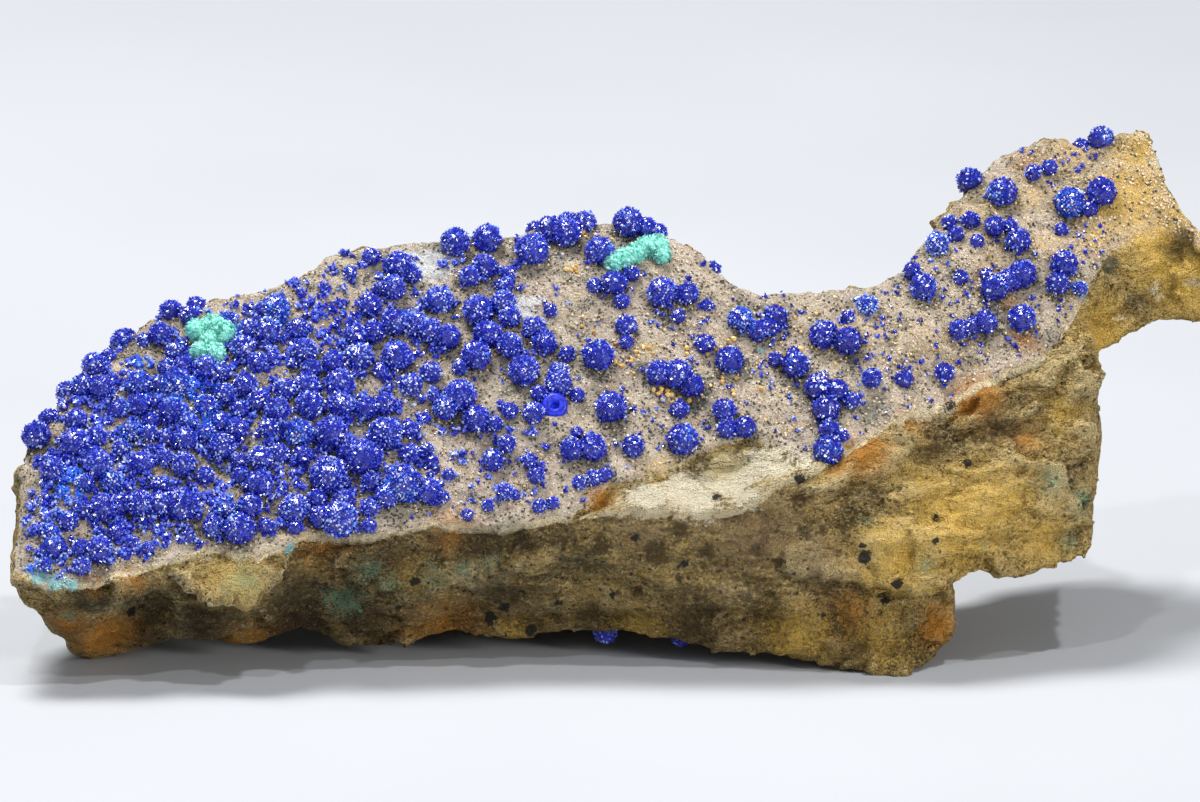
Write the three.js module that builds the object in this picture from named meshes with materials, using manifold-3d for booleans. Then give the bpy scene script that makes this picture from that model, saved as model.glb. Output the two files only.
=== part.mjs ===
// A hand-sized azurite specimen in millimetres, +Z up, with its growth face sloping down towards -Y.
// A slab of sandy, iron-stained rock carries balls of azurite crystals and two tufts of malachite.
// The outlines are read in a front view that looks down a little: [across, up] in its picture plane,
// and a third number, back, for how far behind the right foot the point lies along the table.
import * as THREE from "three";
import { mergeVertices } from "three/addons/utils/BufferGeometryUtils.js";
import Module from "manifold-3d";

const wasm = await Module();
wasm.setup();

// Driving dimensions
const BODY_END = 66.9; // across, where the thick block breaks off under the tail
const TAIL_END = 74.7; // across, the tip of the thin tail and the specimen's length
const LOOK_DOWN = THREE.MathUtils.degToRad(15); // how far the front view looks down
const GROWTH_DIP = THREE.MathUtils.degToRad(40); // slope of the growth face
const GROWTH_START = 9.16; // height of the growth face's plane above the right foot's toe
const GROWTH_BULGE = 0.5; // how far the growth face swells out of its plane
const STATION = 1.9; // distance between sections of the rock
const ROUNDING = 0.4; // how far the rock's first and last sections are drawn in, of the way to their middle
const END_REACH = 0.5; // how far they stand past the sections beside them
const ROCK_RELIEF = 0.42; // unevenness of the broken rock
const GRAIN = 3.2; // size of the rock's lumps
const FINE_SHARE = 0.5; // strength of the lumps half that size, as a share
const FOOT_DEPTH = 7; // depth of the right foot, front to back
const FOOT_ROOT = [2, 1]; // how far the foot's top runs on into the body, back and up
const FOOT_SOLE = 1.5; // how far behind its toe line the sole starts
const SEAT = 0.4; // how far a ball's centre stands above the rock, in radii
const SEARCH = 4; // how far below its place the rock is looked for, in radii
const SEARCH_STEP = 0.25; // the steps of that search, in radii
const SEARCH_RISE = 0.5; // how much of the distance searched is added to the ball's height
const CLEARANCE = 0.3; // gap between a crystal piece and the rock or its neighbour
const CROWDING = 1.5; // how much wider the balls of the crowded left end are at their base than they look
const SPREAD = 1.25; // the same for the other balls
const BIG_BALL = 1.3; // radius from which a ball gets the finer facets
const TUFT_SPREAD = 1.3; // how much wider than they look the lobes of a malachite tuft are
const TUFT_ROOM = 1.8; // how much wider than a tuft's lobes the room is that the azurite leaves for them
const FACET_JITTER = 0.09; // unevenness of a ball's facets, in radii
const BELOW = 5; // depth of the block that trims the feet flat
const WELD = 1e-4; // corners nearer than this are one corner
const TUFT_SEED = 11; // where each group's uneven facets start from
const CROWD_SEED = 5;
const OTHERS_SEED = 6;

// The rock's outlines along the front view
const CREST = [
  [0.4, 14.4], [1.6, 16.2], [3.6, 18.8], [5.3, 20.5], [8.4, 22.9], [11.6, 23.5], [15.1, 24.5],
  [17.5, 25.1], [18.6, 26.2], [20.3, 26.8], [22.8, 27.0], [28.1, 27.5], [30.9, 27.8], [32.5, 28.8],
  [35.6, 28.5], [37.2, 28.6], [39.4, 28.1], [41.2, 27.4], [42.5, 26.4], [43.9, 25.2], [45.1, 24.1],
  [48.8, 24.2], [53.8, 24.2], [55.3, 25.4], [56.6, 26.4], [57.3, 28.0], [58.4, 29.4], [60.3, 31.6],
  [61.6, 33.0], [62.8, 33.4], [65.3, 33.9], [66.9, 33.6],
];
const GROWTH_EDGE = [
  [0.4, 6.5], [2.0, 5.9], [4.1, 5.8], [6.4, 6.3], [8.8, 7.0], [11.6, 8.0], [15.1, 7.5], [17.8, 8.8],
  [21.9, 8.8], [25.8, 9.6], [30.0, 9.4], [33.8, 10.0], [35.3, 10.8], [36.5, 11.9], [39.2, 12.5],
  [42.3, 14.1], [45.3, 15.1], [47.2, 14.6], [48.8, 13.3], [52.4, 14.6], [55.3, 16.2], [58.1, 17.2],
  [61.2, 18.8], [64.1, 20.0], [66.9, 20.5],
];
const BROW = [
  [0.4, 6.1, -2.6], [1.9, 5.4, -3.0], [4.1, 5.4, -3.0], [6.4, 5.9, -2.4], [8.6, 6.4, -1.9],
  [10.0, 6.1, -2.0], [11.7, 4.7, -2.0], [13.8, 5.3, -1.8], [15.9, 7.2, -1.0], [18.0, 8.4, -0.3],
  [21.9, 8.3, -0.3], [25.8, 9.1, 0.2], [30.0, 9.0, 0.2], [33.8, 9.6, 0.6], [36.5, 10.2, 0.7],
  [39.2, 10.1, 0.4], [42.5, 9.9, 0.2], [45.6, 10.7, 0.6], [48.8, 12.2, 2.2], [52.5, 13.9, 3.8],
  [55.3, 15.4, 5.0], [58.1, 16.6, 6.5], [61.2, 18.3, 8.2], [64.1, 19.4, 9.3], [66.9, 19.8, 9.8],
];
const FRONT_HIGH = [
  [0.4, 5.8, -2.2], [2.0, 4.7, -1.8], [4.1, 4.5, -1.6], [6.4, 4.7, -1.2], [8.8, 5.0, -0.8],
  [11.7, 4.1, -0.8], [15.1, 4.9, 0.2], [18.0, 6.4, 1.0], [21.9, 6.1, 1.0], [25.8, 6.6, 0.6],
  [30.0, 7.1, 0.8], [33.8, 7.4, 1.2], [39.4, 7.5, 0.9], [45.6, 7.6, 0.6], [48.8, 8.6, 1.0],
  [52.5, 9.9, 1.8], [55.3, 10.8, 2.8], [58.1, 12.1, 4.0], [61.2, 13.6, 5.4], [64.1, 14.6, 6.6],
  [66.9, 15.5, 7.6],
];
const FRONT_LOW = [
  [0.4, 5.4, -1.2], [2.2, 4.1, 0.2], [4.2, 3.0, 2.0], [6.4, 3.3, 2.2], [9.1, 3.5, 2.0], [11.9, 3.0, 1.6],
  [15.1, 3.5, 2.0], [18.0, 4.4, 2.6], [21.9, 4.1, 2.4], [25.8, 4.9, 2.6], [30.0, 5.2, 3.2],
  [33.8, 5.1, 3.0], [39.4, 4.8, 2.2], [45.6, 4.4, 1.4], [48.8, 4.6, 1.0], [52.0, 6.8, 0.6],
  [55.3, 7.4, 1.0], [58.1, 8.1, 1.8], [61.2, 9.2, 2.8], [64.1, 10.5, 4.0], [66.9, 11.1, 5.4],
];
const FOOT = [
  [0.4, 5.0, 0.0], [1.5, 4.5, 1.4], [2.6, 3.2, 2.5], [3.8, 1.9, 3.8], [4.8, 1.1, 4.6], [6.0, 1.1, 4.6],
  [6.8, 2.1, 4.2], [8.8, 2.3, 4.2], [15.1, 2.3, 4.0], [17.5, 2.8, 4.4], [20.6, 2.2, 4.6], [22.0, 1.5, 5.0],
  [23.0, 1.4, 5.0], [23.8, 2.4, 4.6], [25.6, 2.8, 4.6], [31.2, 2.3, 4.8], [33.8, 2.6, 4.6],
  [35.0, 2.9, 4.4], [37.5, 2.5, 4.0], [39.4, 2.4, 3.6], [41.9, 2.1, 3.0], [42.8, 1.6, 2.6],
  [45.6, 1.1, 2.0], [48.8, 1.0, 1.6], [51.6, 0.8, 1.2], [52.4, 5.2, 0.4], [55.3, 5.4, 0.4],
  [57.8, 5.6, 0.8], [59.1, 6.4, 2.0], [60.5, 6.8, 3.0], [62.2, 5.9, 2.6], [63.2, 6.8, 3.4],
  [65.9, 7.3, 4.4], [66.9, 7.2, 4.8],
];

// Heights above the table, [across, height], of the underside behind the front edge and of the back keel
const UNDER_FRONT = [
  [0.4, 5.0], [3.2, 1.8], [4.2, -0.8], [6.6, -0.8], [7.6, 2.4], [20.6, 3.2], [22.0, 1.2], [23.2, 1.2],
  [24.2, 3.4], [35.0, 3.8], [51.0, 3.0], [52.6, 5.6], [57.8, 6.2], [66.9, 7.4],
];
const UNDER_MIDDLE = [
  [0.4, 4.8], [3.4, 3.0], [4.4, 0.6], [6.4, 0.6], [8.0, 3.4], [18.0, 4.6], [45.0, 5.0], [58.0, 6.2],
  [66.9, 7.4],
];
const KEEL = [
  [0.4, 5.6], [3.0, 3.6], [6.0, 2.2], [14.0, 1.6], [25.0, 1.0], [27.5, -0.4], [38.5, -0.4], [41.0, 1.2],
  [50.0, 2.4], [60.0, 5.0], [66.9, 6.4],
];
// Where the underside's lines run, in shares of the way from the front foot to the crest
const UNDER_FRONT_AT = 0.22;
const UNDER_MIDDLE_AT = 0.5;
const KEEL_AT = 0.8;

// The back below the crest: [how far behind it, share of the way down to the keel]
const BODY_BACK = [[1.4, 0.08], [1.6, 0.5], [0.4, 1]];
const TAIL_BACK = [[1.0, 0.15], [0.8, 0.98]];

// How many facets each side of a section has, from the front foot up the front, over the top and round
const BODY_SIDES = [1, 2, 2, 1, 1, 1, 1, 1, 1, 1, 2, 2, 1, 2, 1, 1];
const TAIL_SIDES = [2, 1, 1, 1, 1, 1, 1, 2, 1, 1];
const FOOT_SIDES = [3, 3, 3, 2, 1];
const GROWTH_SHARES = [0, 0.2, 0.4, 0.6, 0.8, 1]; // where the growth face has corners, from edge to crest

// The tail's outlines
const TAIL_CREST = [
  [64.0, 33.2], [66.6, 34.1], [69.4, 34.3], [70.4, 34.6], [71.1, 33.0], [71.8, 31.2], [72.4, 29.8],
  [73.3, 28.8], [74.0, 27.9], [74.7, 26.8],
];
const TAIL_EDGE = [
  [64.0, 21.8], [66.0, 22.5], [67.0, 24.6], [68.1, 26.6], [69.4, 27.4], [71.6, 28.0], [73.4, 27.6],
  [74.7, 26.2],
];
const TAIL_BROW = [
  [64.0, 20.6, 13.0], [66.4, 19.6, 13.2], [67.6, 20.4, 13.8], [69.3, 21.3, 14.8], [70.6, 22.2, 15.6],
  [71.8, 22.4, 16.0], [73.8, 22.9, 16.8], [74.7, 23.8, 17.2],
];
const TAIL_FLOOR = 18.4; // height of the tail's underside
const TAIL_LIFT = 0.15; // how far the tail's growth face stands above the body's
const TAIL_SINK = 0.8; // how far its buried end lies below it
const TAIL_START = 66; // across, where the tail comes out of the body

// The right foot's toe line and the line where it goes up into the body
const TOE = [
  [46.2, 1.6, 3.0], [48.8, 1.0, 2.2], [51.9, 0.6, 1.4], [53.8, 0.1, 0.7], [55.2, -0.1, 0.4],
  [56.1, 0.4, 0.8], [57.2, 1.1, 1.4], [58.0, 2.1, 2.4],
];
const INSTEP = [[46.2, 4.9, 3.0], [51.9, 6.2, 2.0], [55.0, 5.8, 1.9], [56.9, 6.2, 2.2], [58.0, 6.0, 3.0]];
const HEEL = [[46.2, 2.0], [51.0, 1.6], [53.2, -0.4], [56.2, -0.4], [58.0, 2.0]]; // height of its back edge

// Azurite balls, [across, up, radius], from the crowded left end to the tail
const LEFT_BALLS = [
  [9.2, 23.5, 0.81], [6.1, 21.2, 0.94], [4.4, 20.1, 0.81], [8.7, 21.4, 0.75], [2.9, 17.9, 0.81],
  [4.0, 18.1, 0.75], [5.1, 18.0, 0.81], [1.2, 14.9, 0.94], [3.6, 15.9, 0.75], [3.4, 14.4, 1],
  [2.2, 12.9, 0.81], [4.9, 13.1, 0.94], [5.8, 12.1, 0.75], [7.6, 13.2, 0.75], [7.1, 15.2, 0.75],
  [7.6, 16.8, 0.81], [7.4, 18.2, 0.81], [9.9, 18.1, 1], [9.5, 16.6, 0.88], [10.2, 19.2, 0.75],
  [11.6, 19.2, 0.81], [10.4, 13.2, 0.81], [5.2, 10.5, 0.88], [6.4, 10.8, 0.75], [7.7, 10.8, 0.88],
  [8.9, 10.7, 0.81], [10.1, 10.6, 1.12], [2.3, 8.0, 0.75], [5.1, 7.9, 0.88], [12.2, 9.4, 0.75],
  [13.8, 9.2, 1], [14.4, 10.6, 0.81], [15.0, 11.9, 0.88], [15.2, 13.6, 0.81], [12.6, 14.3, 0.88],
  [13.6, 15.4, 0.75], [10.4, 14.8, 0.75], [17.2, 10.4, 0.94], [19.4, 12.4, 1.25], [20.3, 10.9, 0.75],
  [20.1, 9.6, 1.19], [18.8, 9.9, 0.75], [21.5, 13.4, 1.19], [22.8, 15.2, 1.06], [19.4, 15.1, 1.06],
  [20.5, 14.1, 0.75], [17.4, 15.1, 0.94], [16.1, 16.6, 0.81], [18.1, 16.9, 0.94], [20.2, 16.9, 0.88],
  [20.1, 18.2, 0.94], [21.6, 16.7, 0.81], [22.9, 16.9, 0.75], [17.8, 18.1, 0.88], [16.4, 17.9, 0.75],
  [14.2, 18.1, 0.81], [15.0, 17.1, 0.75], [12.8, 17.6, 0.75], [11.6, 16.8, 0.75], [15.4, 21.4, 0.94],
  [14.2, 21.6, 0.75], [15.9, 22.9, 0.94], [13.9, 20.4, 0.81], [17.8, 20.2, 0.88], [17.4, 21.6, 0.75],
  [19.6, 19.5, 0.75], [21.2, 19.8, 0.94], [21.0, 21.2, 0.81], [22.1, 21.5, 0.75], [23.4, 22.1, 0.88],
  [23.5, 19.9, 1],
];
const MIDDLE_BALLS = [
  [23.6, 25.5, 0.94], [23.3, 24.2, 0.81], [24.6, 21.9, 0.88], [25.6, 21.5, 0.81], [26.7, 21.1, 0.81],
  [27.2, 27.1, 0.94], [29.1, 27.3, 0.94], [28.1, 25.0, 0.69], [29.0, 25.6, 0.81], [31.9, 26.5, 1.06],
  [33.1, 27.8, 0.88], [34.4, 29.1, 0.75], [35.3, 28.4, 0.75], [34.2, 27.6, 0.94], [36.2, 26.5, 0.94],
  [38.1, 28.2, 1], [39.1, 28.4, 0.75], [37.1, 24.4, 0.81], [40.1, 23.9, 1], [41.7, 23.9, 0.75],
  [26.1, 23.3, 0.94], [28.7, 22.8, 1], [30.2, 23.2, 0.88], [30.6, 22.4, 0.75], [29.2, 21.2, 0.94],
  [30.5, 20.6, 0.81], [28.5, 19.9, 0.94], [31.4, 19.0, 1], [32.2, 21.7, 0.75], [32.8, 20.8, 0.81],
  [36.2, 19.9, 1], [39.9, 18.9, 0.81], [41.1, 18.8, 0.94], [42.1, 18.1, 0.75], [33.7, 18.9, 0.69],
  [33.6, 18.1, 0.88], [33.4, 16.9, 0.81], [27.5, 17.4, 1.06], [26.6, 16.7, 0.81], [28.5, 16.1, 0.88],
  [37.1, 16.7, 1], [44.1, 16.6, 0.75], [44.2, 15.5, 0.69], [45.3, 15.6, 0.69], [41.4, 14.7, 1],
  [35.7, 14.3, 0.88], [34.5, 14.2, 0.75], [23.9, 11.8, 1.25], [25.4, 11.5, 0.88], [22.9, 11.2, 0.75],
  [22.0, 12.1, 0.69],
];
const RIGHT_BALLS = [
  [62.5, 27.2, 0.81], [61.1, 28.1, 0.69], [45.1, 22.2, 0.81], [46.1, 21.5, 0.69], [47.3, 22.4, 0.81],
  [46.8, 21.7, 0.69], [44.4, 19.7, 0.88], [48.5, 19.3, 0.88], [50.3, 21.2, 0.94], [51.8, 20.9, 0.88],
  [49.9, 18.1, 0.88], [51.1, 17.8, 0.75], [50.4, 16.7, 0.88], [50.6, 15.4, 0.69], [50.4, 14.1, 0.94],
  [56.5, 24.3, 0.88], [61.0, 24.1, 0.88], [61.9, 24.6, 0.81], [62.8, 25.1, 0.88], [58.7, 21.6, 0.69],
  [60.3, 22.1, 0.75], [62.6, 22.3, 0.88], [65.3, 25.8, 0.88], [65.0, 24.6, 0.75], [59.4, 31.2, 0.88],
  [61.6, 30.2, 0.94], [68.0, 33.9, 0.88], [67.8, 30.3, 0.94], [65.8, 29.5, 1],
];

// Malachite lobes, [across, up, radius]
const LEFT_TUFT = [
  [11.1, 21.6, 0.62], [11.9, 21.8, 0.69], [12.6, 21.4, 0.69], [11.8, 20.9, 0.56], [11.3, 20.3, 0.56],
  [12.2, 20.2, 0.56],
];
const TOP_TUFT = [
  [37.2, 25.8, 0.56], [37.8, 26.1, 0.62], [38.5, 26.4, 0.62], [39.2, 26.8, 0.62], [39.8, 26.8, 0.69],
  [40.2, 26.3, 0.5],
];

// Materials
const rockSand = new THREE.MeshStandardMaterial({ color: 0xb79a78, roughness: 0.9, metalness: 0 });
const azuriteBlue = new THREE.MeshStandardMaterial({ color: 0x1c22a8, roughness: 0.25, metalness: 0 });
const malachiteGreen = new THREE.MeshStandardMaterial({ color: 0x5fc4a8, roughness: 0.6, metalness: 0 });

// A point of the front view, back along the table
function seen(across, up, back) {
  const height = (up - back * Math.sin(LOOK_DOWN)) / Math.cos(LOOK_DOWN);
  return new THREE.Vector3(across, back, height);
}

// A point of the front view on the growth face's plane, raised along the face's normal
function onGrowth(across, up, raised = 0) {
  const rise = Math.tan(GROWTH_DIP);
  const back = (up - GROWTH_START * Math.cos(LOOK_DOWN)) / (rise * Math.cos(LOOK_DOWN) + Math.sin(LOOK_DOWN));
  const normal = new THREE.Vector3(0, -Math.sin(GROWTH_DIP), Math.cos(GROWTH_DIP));
  return new THREE.Vector3(across, back, GROWTH_START + back * rise).addScaledVector(normal, raised);
}

// The numbers after the first of an outline's rows, at any place across
function along(rows, across) {
  const next = rows.findIndex((row) => row[0] > across);
  if (next === 0) return rows[0].slice(1);
  if (next === -1) return rows.at(-1).slice(1);
  const [from, to] = [rows[next - 1], rows[next]];
  const share = (across - from[0]) / (to[0] - from[0]);
  return from.slice(1).map((value, i) => THREE.MathUtils.lerp(value, to[i + 1], share));
}

// A seeded source of numbers from 0 to 1
function seeded(seed) {
  let state = seed;
  return () => {
    state = (Math.imul(state, 1664525) + 1013904223) >>> 0;
    return state / 4294967296;
  };
}

// A fixed number from -1 to 1 for each whole-numbered place and channel
function latticeValue(x, y, z, channel) {
  let hash = Math.imul(x, 374761393) + Math.imul(y, 668265263) + Math.imul(z, 2147483647 - channel * 7919);
  hash = Math.imul(hash ^ (hash >>> 13), 1274126177);
  return ((hash ^ (hash >>> 16)) >>> 0) / 2147483648 - 1;
}

// Smooth noise between the lattice places
function noise(point, size, channel) {
  const place = [point.x, point.y, point.z].map((value) => value / size + 100);
  const cell = place.map(Math.floor);
  const [fx, fy, fz] = place.map((value, i) => THREE.MathUtils.smoothstep(value - cell[i], 0, 1));
  const value = (i, j, k) => latticeValue(cell[0] + i, cell[1] + j, cell[2] + k, channel);
  const edge = (j, k) => THREE.MathUtils.lerp(value(0, j, k), value(1, j, k), fx);
  const side = (k) => THREE.MathUtils.lerp(edge(0, k), edge(1, k), fy);
  return THREE.MathUtils.lerp(side(0), side(1), fz);
}

// A point moved by the rock's unevenness, which depends only on its place
function weathered(point) {
  const shift = [0, 1, 2].map((channel) => {
    return noise(point, GRAIN, channel) + FINE_SHARE * noise(point, GRAIN / 2, channel + 3);
  });
  return new THREE.Vector3(...shift).multiplyScalar(ROCK_RELIEF).add(point);
}

// The solid inside a closed mesh
function solidOf(vertices, triangles) {
  return new wasm.Manifold(
    new wasm.Mesh({
      numProp: 3,
      vertProperties: new Float32Array(vertices.flatMap((point) => point.toArray())),
      triVerts: new Uint32Array(triangles),
    }),
  );
}

// A geometry with its corners shared by all the faces that meet there, and nothing but its corners
function welded(geometry) {
  const bare = new THREE.BufferGeometry().setAttribute("position", geometry.getAttribute("position"));
  return mergeVertices(geometry.index ? bare.setIndex(geometry.index) : bare, WELD);
}

// The solid inside a geometry whose faces share their corners only by place
function solidOfGeometry(geometry) {
  const whole = welded(geometry);
  return new wasm.Manifold(
    new wasm.Mesh({
      numProp: 3,
      vertProperties: whole.attributes.position.array,
      triVerts: new Uint32Array(whole.index.array),
    }),
  );
}

// A three.js geometry of a solid
function geometryOf(solid) {
  const mesh = solid.getMesh();
  return new THREE.BufferGeometry()
    .setAttribute("position", new THREE.BufferAttribute(mesh.vertProperties, 3))
    .setIndex(new THREE.BufferAttribute(mesh.triVerts, 1));
}

// A ring of corners with each side cut into equal steps
function splitSides(corners, steps) {
  return corners.flatMap((corner, i) => {
    const next = corners[(i + 1) % corners.length];
    return Array.from({ length: steps[i] }, (_, step) => corner.clone().lerp(next, step / steps[i]));
  });
}

// The middle of a ring
function middleOf(ring) {
  return ring.reduce((sum, point) => sum.add(point), new THREE.Vector3()).divideScalar(ring.length);
}

// A ring drawn in towards its middle, and moved across
function drawnIn(ring, reach) {
  const middle = middleOf(ring);
  return ring.map((point) => point.clone().lerp(middle, ROUNDING).add(new THREE.Vector3(reach, 0, 0)));
}

// A closed solid through rings of equal length that run across, each from the foot up the front and round
function loft(rings) {
  const count = rings[0].length;
  const vertices = rings.flat();
  const triangles = [];
  for (let r = 0; r + 1 < rings.length; r++) {
    for (let i = 0; i < count; i++) {
      const [a, b] = [r * count + i, r * count + ((i + 1) % count)];
      const [c, d] = [a + count, b + count];
      triangles.push(a, c, b, b, c, d);
    }
  }
  for (const [first, turned] of [[0, true], [(rings.length - 1) * count, false]]) {
    const hub = vertices.push(middleOf(vertices.slice(first, first + count))) - 1;
    for (let i = 0; i < count; i++) {
      const [a, b] = [first + i, first + ((i + 1) % count)];
      triangles.push(...(turned ? [a, b, hub] : [b, a, hub]));
    }
  }
  return solidOf(vertices, triangles);
}

// Evenly spaced places across
function stations(from, to) {
  const count = Math.ceil((to - from) / STATION);
  return Array.from({ length: count + 1 }, (_, i) => THREE.MathUtils.lerp(from, to, i / count));
}

// The growth face from its front edge to the crest, both read in the front view
function growthFace(across, edgeUp, crestUp, lift) {
  return GROWTH_SHARES.map((share) => {
    const swell = GROWTH_BULGE * Math.sin(Math.PI * share);
    return onGrowth(across, THREE.MathUtils.lerp(edgeUp, crestUp, share), swell + lift);
  });
}

// The corners of the back below a crest, down to a floor height
function backBelow(crest, floor, rows) {
  return rows.map(([behind, share]) => {
    return new THREE.Vector3(crest.x, crest.y + behind, THREE.MathUtils.lerp(crest.z, floor, share));
  });
}

// One section through the body: up the broken front, up the growth face, down the back and under
function bodyRing(across) {
  const [edgeUp] = along(GROWTH_EDGE, across);
  const [crestUp] = along(CREST, across);
  const growth = growthFace(across, edgeUp, crestUp, 0);
  const crest = growth.at(-1);
  const foot = seen(across, ...along(FOOT, across));
  const [keel] = along(KEEL, across);
  const [underFront] = along(UNDER_FRONT, across);
  const [underMiddle] = along(UNDER_MIDDLE, across);
  const depth = crest.y - foot.y;
  const corners = [
    foot,
    seen(across, ...along(FRONT_LOW, across)),
    seen(across, ...along(FRONT_HIGH, across)),
    seen(across, ...along(BROW, across)),
    ...growth,
    ...backBelow(crest, keel, BODY_BACK),
    new THREE.Vector3(across, foot.y + KEEL_AT * depth, keel),
    new THREE.Vector3(across, foot.y + UNDER_MIDDLE_AT * depth, underMiddle),
    new THREE.Vector3(across, foot.y + UNDER_FRONT_AT * depth, underFront),
  ];
  return splitSides(corners, BODY_SIDES);
}

// The thick body from the left end to where it breaks off under the tail
function body() {
  const rings = stations(CREST[0][0], BODY_END).map(bodyRing);
  rings.unshift(drawnIn(rings[0], -END_REACH));
  rings.push(drawnIn(rings.at(-1), END_REACH));
  return loft(rings.map((ring) => ring.map(weathered)));
}

// One section through the tail, a wedge with a level underside
function tailRing(across) {
  const [edgeUp] = along(TAIL_EDGE, across);
  const [crestUp] = along(TAIL_CREST, across);
  const [browUp, browBack] = along(TAIL_BROW, across);
  const lift = across < TAIL_START ? -TAIL_SINK : TAIL_LIFT;
  const growth = growthFace(across, edgeUp, crestUp, lift);
  const crest = growth.at(-1);
  const corners = [
    seen(across, browUp, browBack),
    ...growth,
    ...backBelow(crest, TAIL_FLOOR, TAIL_BACK),
    new THREE.Vector3(across, THREE.MathUtils.lerp(browBack, crest.y, 0.5), TAIL_FLOOR),
  ];
  return splitSides(corners, TAIL_SIDES);
}

// The thin tail, from inside the body to its rounded tip
function tail() {
  const rings = stations(TAIL_CREST[0][0], TAIL_END).map(tailRing);
  rings.push(drawnIn(rings.at(-1), END_REACH));
  return loft(rings.map((ring) => ring.map(weathered)));
}

// The right foot, set back under the ledge of the body's front
function rightFoot() {
  const rings = stations(TOE[0][0], TOE.at(-1)[0]).map((across) => {
    const toe = seen(across, ...along(TOE, across));
    const instep = seen(across, ...along(INSTEP, across));
    const [heel] = along(HEEL, across);
    const [further, higher] = FOOT_ROOT;
    const corners = [
      toe,
      instep,
      new THREE.Vector3(across, FOOT_DEPTH + further, instep.z + higher),
      new THREE.Vector3(across, FOOT_DEPTH, heel),
      new THREE.Vector3(across, toe.y + FOOT_SOLE, Math.min(toe.z, heel)),
    ];
    return splitSides(corners, FOOT_SIDES);
  });
  return loft(rings.map((ring) => ring.map(weathered)));
}

// A block under the table, which trims the feet flat
function tableBlock() {
  const block = new THREE.BoxGeometry(2 * TAIL_END, 2 * TAIL_END, BELOW);
  return solidOfGeometry(block.translate(TAIL_END / 2, 0, -BELOW / 2));
}

// The whole rock
function rock() {
  return body().add(tail()).add(rightFoot()).subtract(tableBlock());
}

// The rock with every corner moved outwards, to cut crystal pieces clear of it
function grown(solid, distance) {
  const geometry = geometryOf(solid);
  geometry.computeVertexNormals();
  const { position, normal } = geometry.attributes;
  const moved = position.clone();
  for (let i = 0; i < position.count; i++) {
    const corner = new THREE.Vector3().fromBufferAttribute(position, i);
    corner.addScaledVector(new THREE.Vector3().fromBufferAttribute(normal, i), distance);
    moved.setXYZ(i, corner.x, corner.y, corner.z);
  }
  return solidOfGeometry(new THREE.BufferGeometry().setAttribute("position", moved).setIndex(geometry.index));
}

// Where the line of sight through a point of the front view meets the rock
function lookAt(target, across, up) {
  const away = new THREE.Vector3(0, Math.cos(LOOK_DOWN), -Math.sin(LOOK_DOWN));
  const start = seen(across, up, 0).addScaledVector(away, -TAIL_END);
  return new THREE.Raycaster(start, away).intersectObject(target)[0];
}

// The middle of a ball that covers a place in the front view and sits in the rock's surface.
// A ball that stands out past the rock's outline is set on the nearest rock below it.
function seatOf(target, [across, up, radius]) {
  for (let drop = 0; drop < SEARCH * radius; drop += SEARCH_STEP * radius) {
    const hit = lookAt(target, across, up - drop);
    if (hit) return hit.point.addScaledVector(hit.face.normal, SEAT * radius + SEARCH_RISE * drop);
  }
  throw new Error("no rock behind the ball at " + across + ", " + up);
}

// A ball of crystals: a polyhedron with uneven corners, turned at random
function crystalBall(middle, radius, random) {
  const coarse = radius < BIG_BALL;
  const shape = coarse ? new THREE.IcosahedronGeometry(radius, 0) : new THREE.OctahedronGeometry(radius, 1);
  const whole = welded(shape);
  const { position } = whole.attributes;
  for (let i = 0; i < position.count; i++) {
    const corner = new THREE.Vector3().fromBufferAttribute(position, i);
    corner.multiplyScalar(1 + FACET_JITTER * (2 * random() - 1));
    position.setXYZ(i, corner.x, corner.y, corner.z);
  }
  const turn = new THREE.Euler(random() * Math.PI, random() * Math.PI, random() * Math.PI);
  whole.applyMatrix4(new THREE.Matrix4().makeRotationFromEuler(turn));
  return solidOfGeometry(whole.translate(middle.x, middle.y, middle.z));
}

// One solid of all the balls in a list, each wider than its read radius by a factor
function joinedBalls(list, target, seed, widening) {
  const random = seeded(seed);
  const balls = list.map((row) => crystalBall(seatOf(target, row), row[2] * widening, random));
  return wasm.Manifold.union(balls);
}

const specimen = new THREE.Group();

function addPiece(name, solid, material) {
  const mesh = new THREE.Mesh(geometryOf(solid), material);
  mesh.name = name;
  specimen.add(mesh);
  return mesh;
}

const matrixSolid = rock();
const matrix = addPiece("matrix", matrixSolid, rockSand);
const clearOfRock = grown(matrixSolid, CLEARANCE);

// Malachite tufts
const tufts = { malachite_tuft_left: LEFT_TUFT, malachite_tuft_top: TOP_TUFT };
let clearOfTufts = clearOfRock;
for (const [i, [name, lobes]] of Object.entries(tufts).entries()) {
  const seed = TUFT_SEED + i;
  addPiece(name, joinedBalls(lobes, matrix, seed, TUFT_SPREAD).subtract(clearOfRock), malachiteGreen);
  clearOfTufts = clearOfTufts.add(joinedBalls(lobes, matrix, seed, TUFT_ROOM));
}

// Azurite: balls that touch have grown into one piece, and each other one is a piece of its own
const crowd = joinedBalls(LEFT_BALLS, matrix, CROWD_SEED, CROWDING);
const others = joinedBalls([...MIDDLE_BALLS, ...RIGHT_BALLS], matrix, OTHERS_SEED, SPREAD);
const azurite = crowd.add(others).subtract(clearOfTufts);
const grownPieces = azurite.decompose().sort((a, b) => b.volume() - a.volume());
for (const [i, piece] of grownPieces.entries()) {
  addPiece(i === 0 ? "azurite_crust" : "azurite_cluster_" + String(i).padStart(2, "0"), piece, azuriteBlue);
}

const middle = new THREE.Box3().setFromObject(specimen).getCenter(new THREE.Vector3());
specimen.position.set(-middle.x, -middle.y, 0);

export default specimen;
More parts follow.
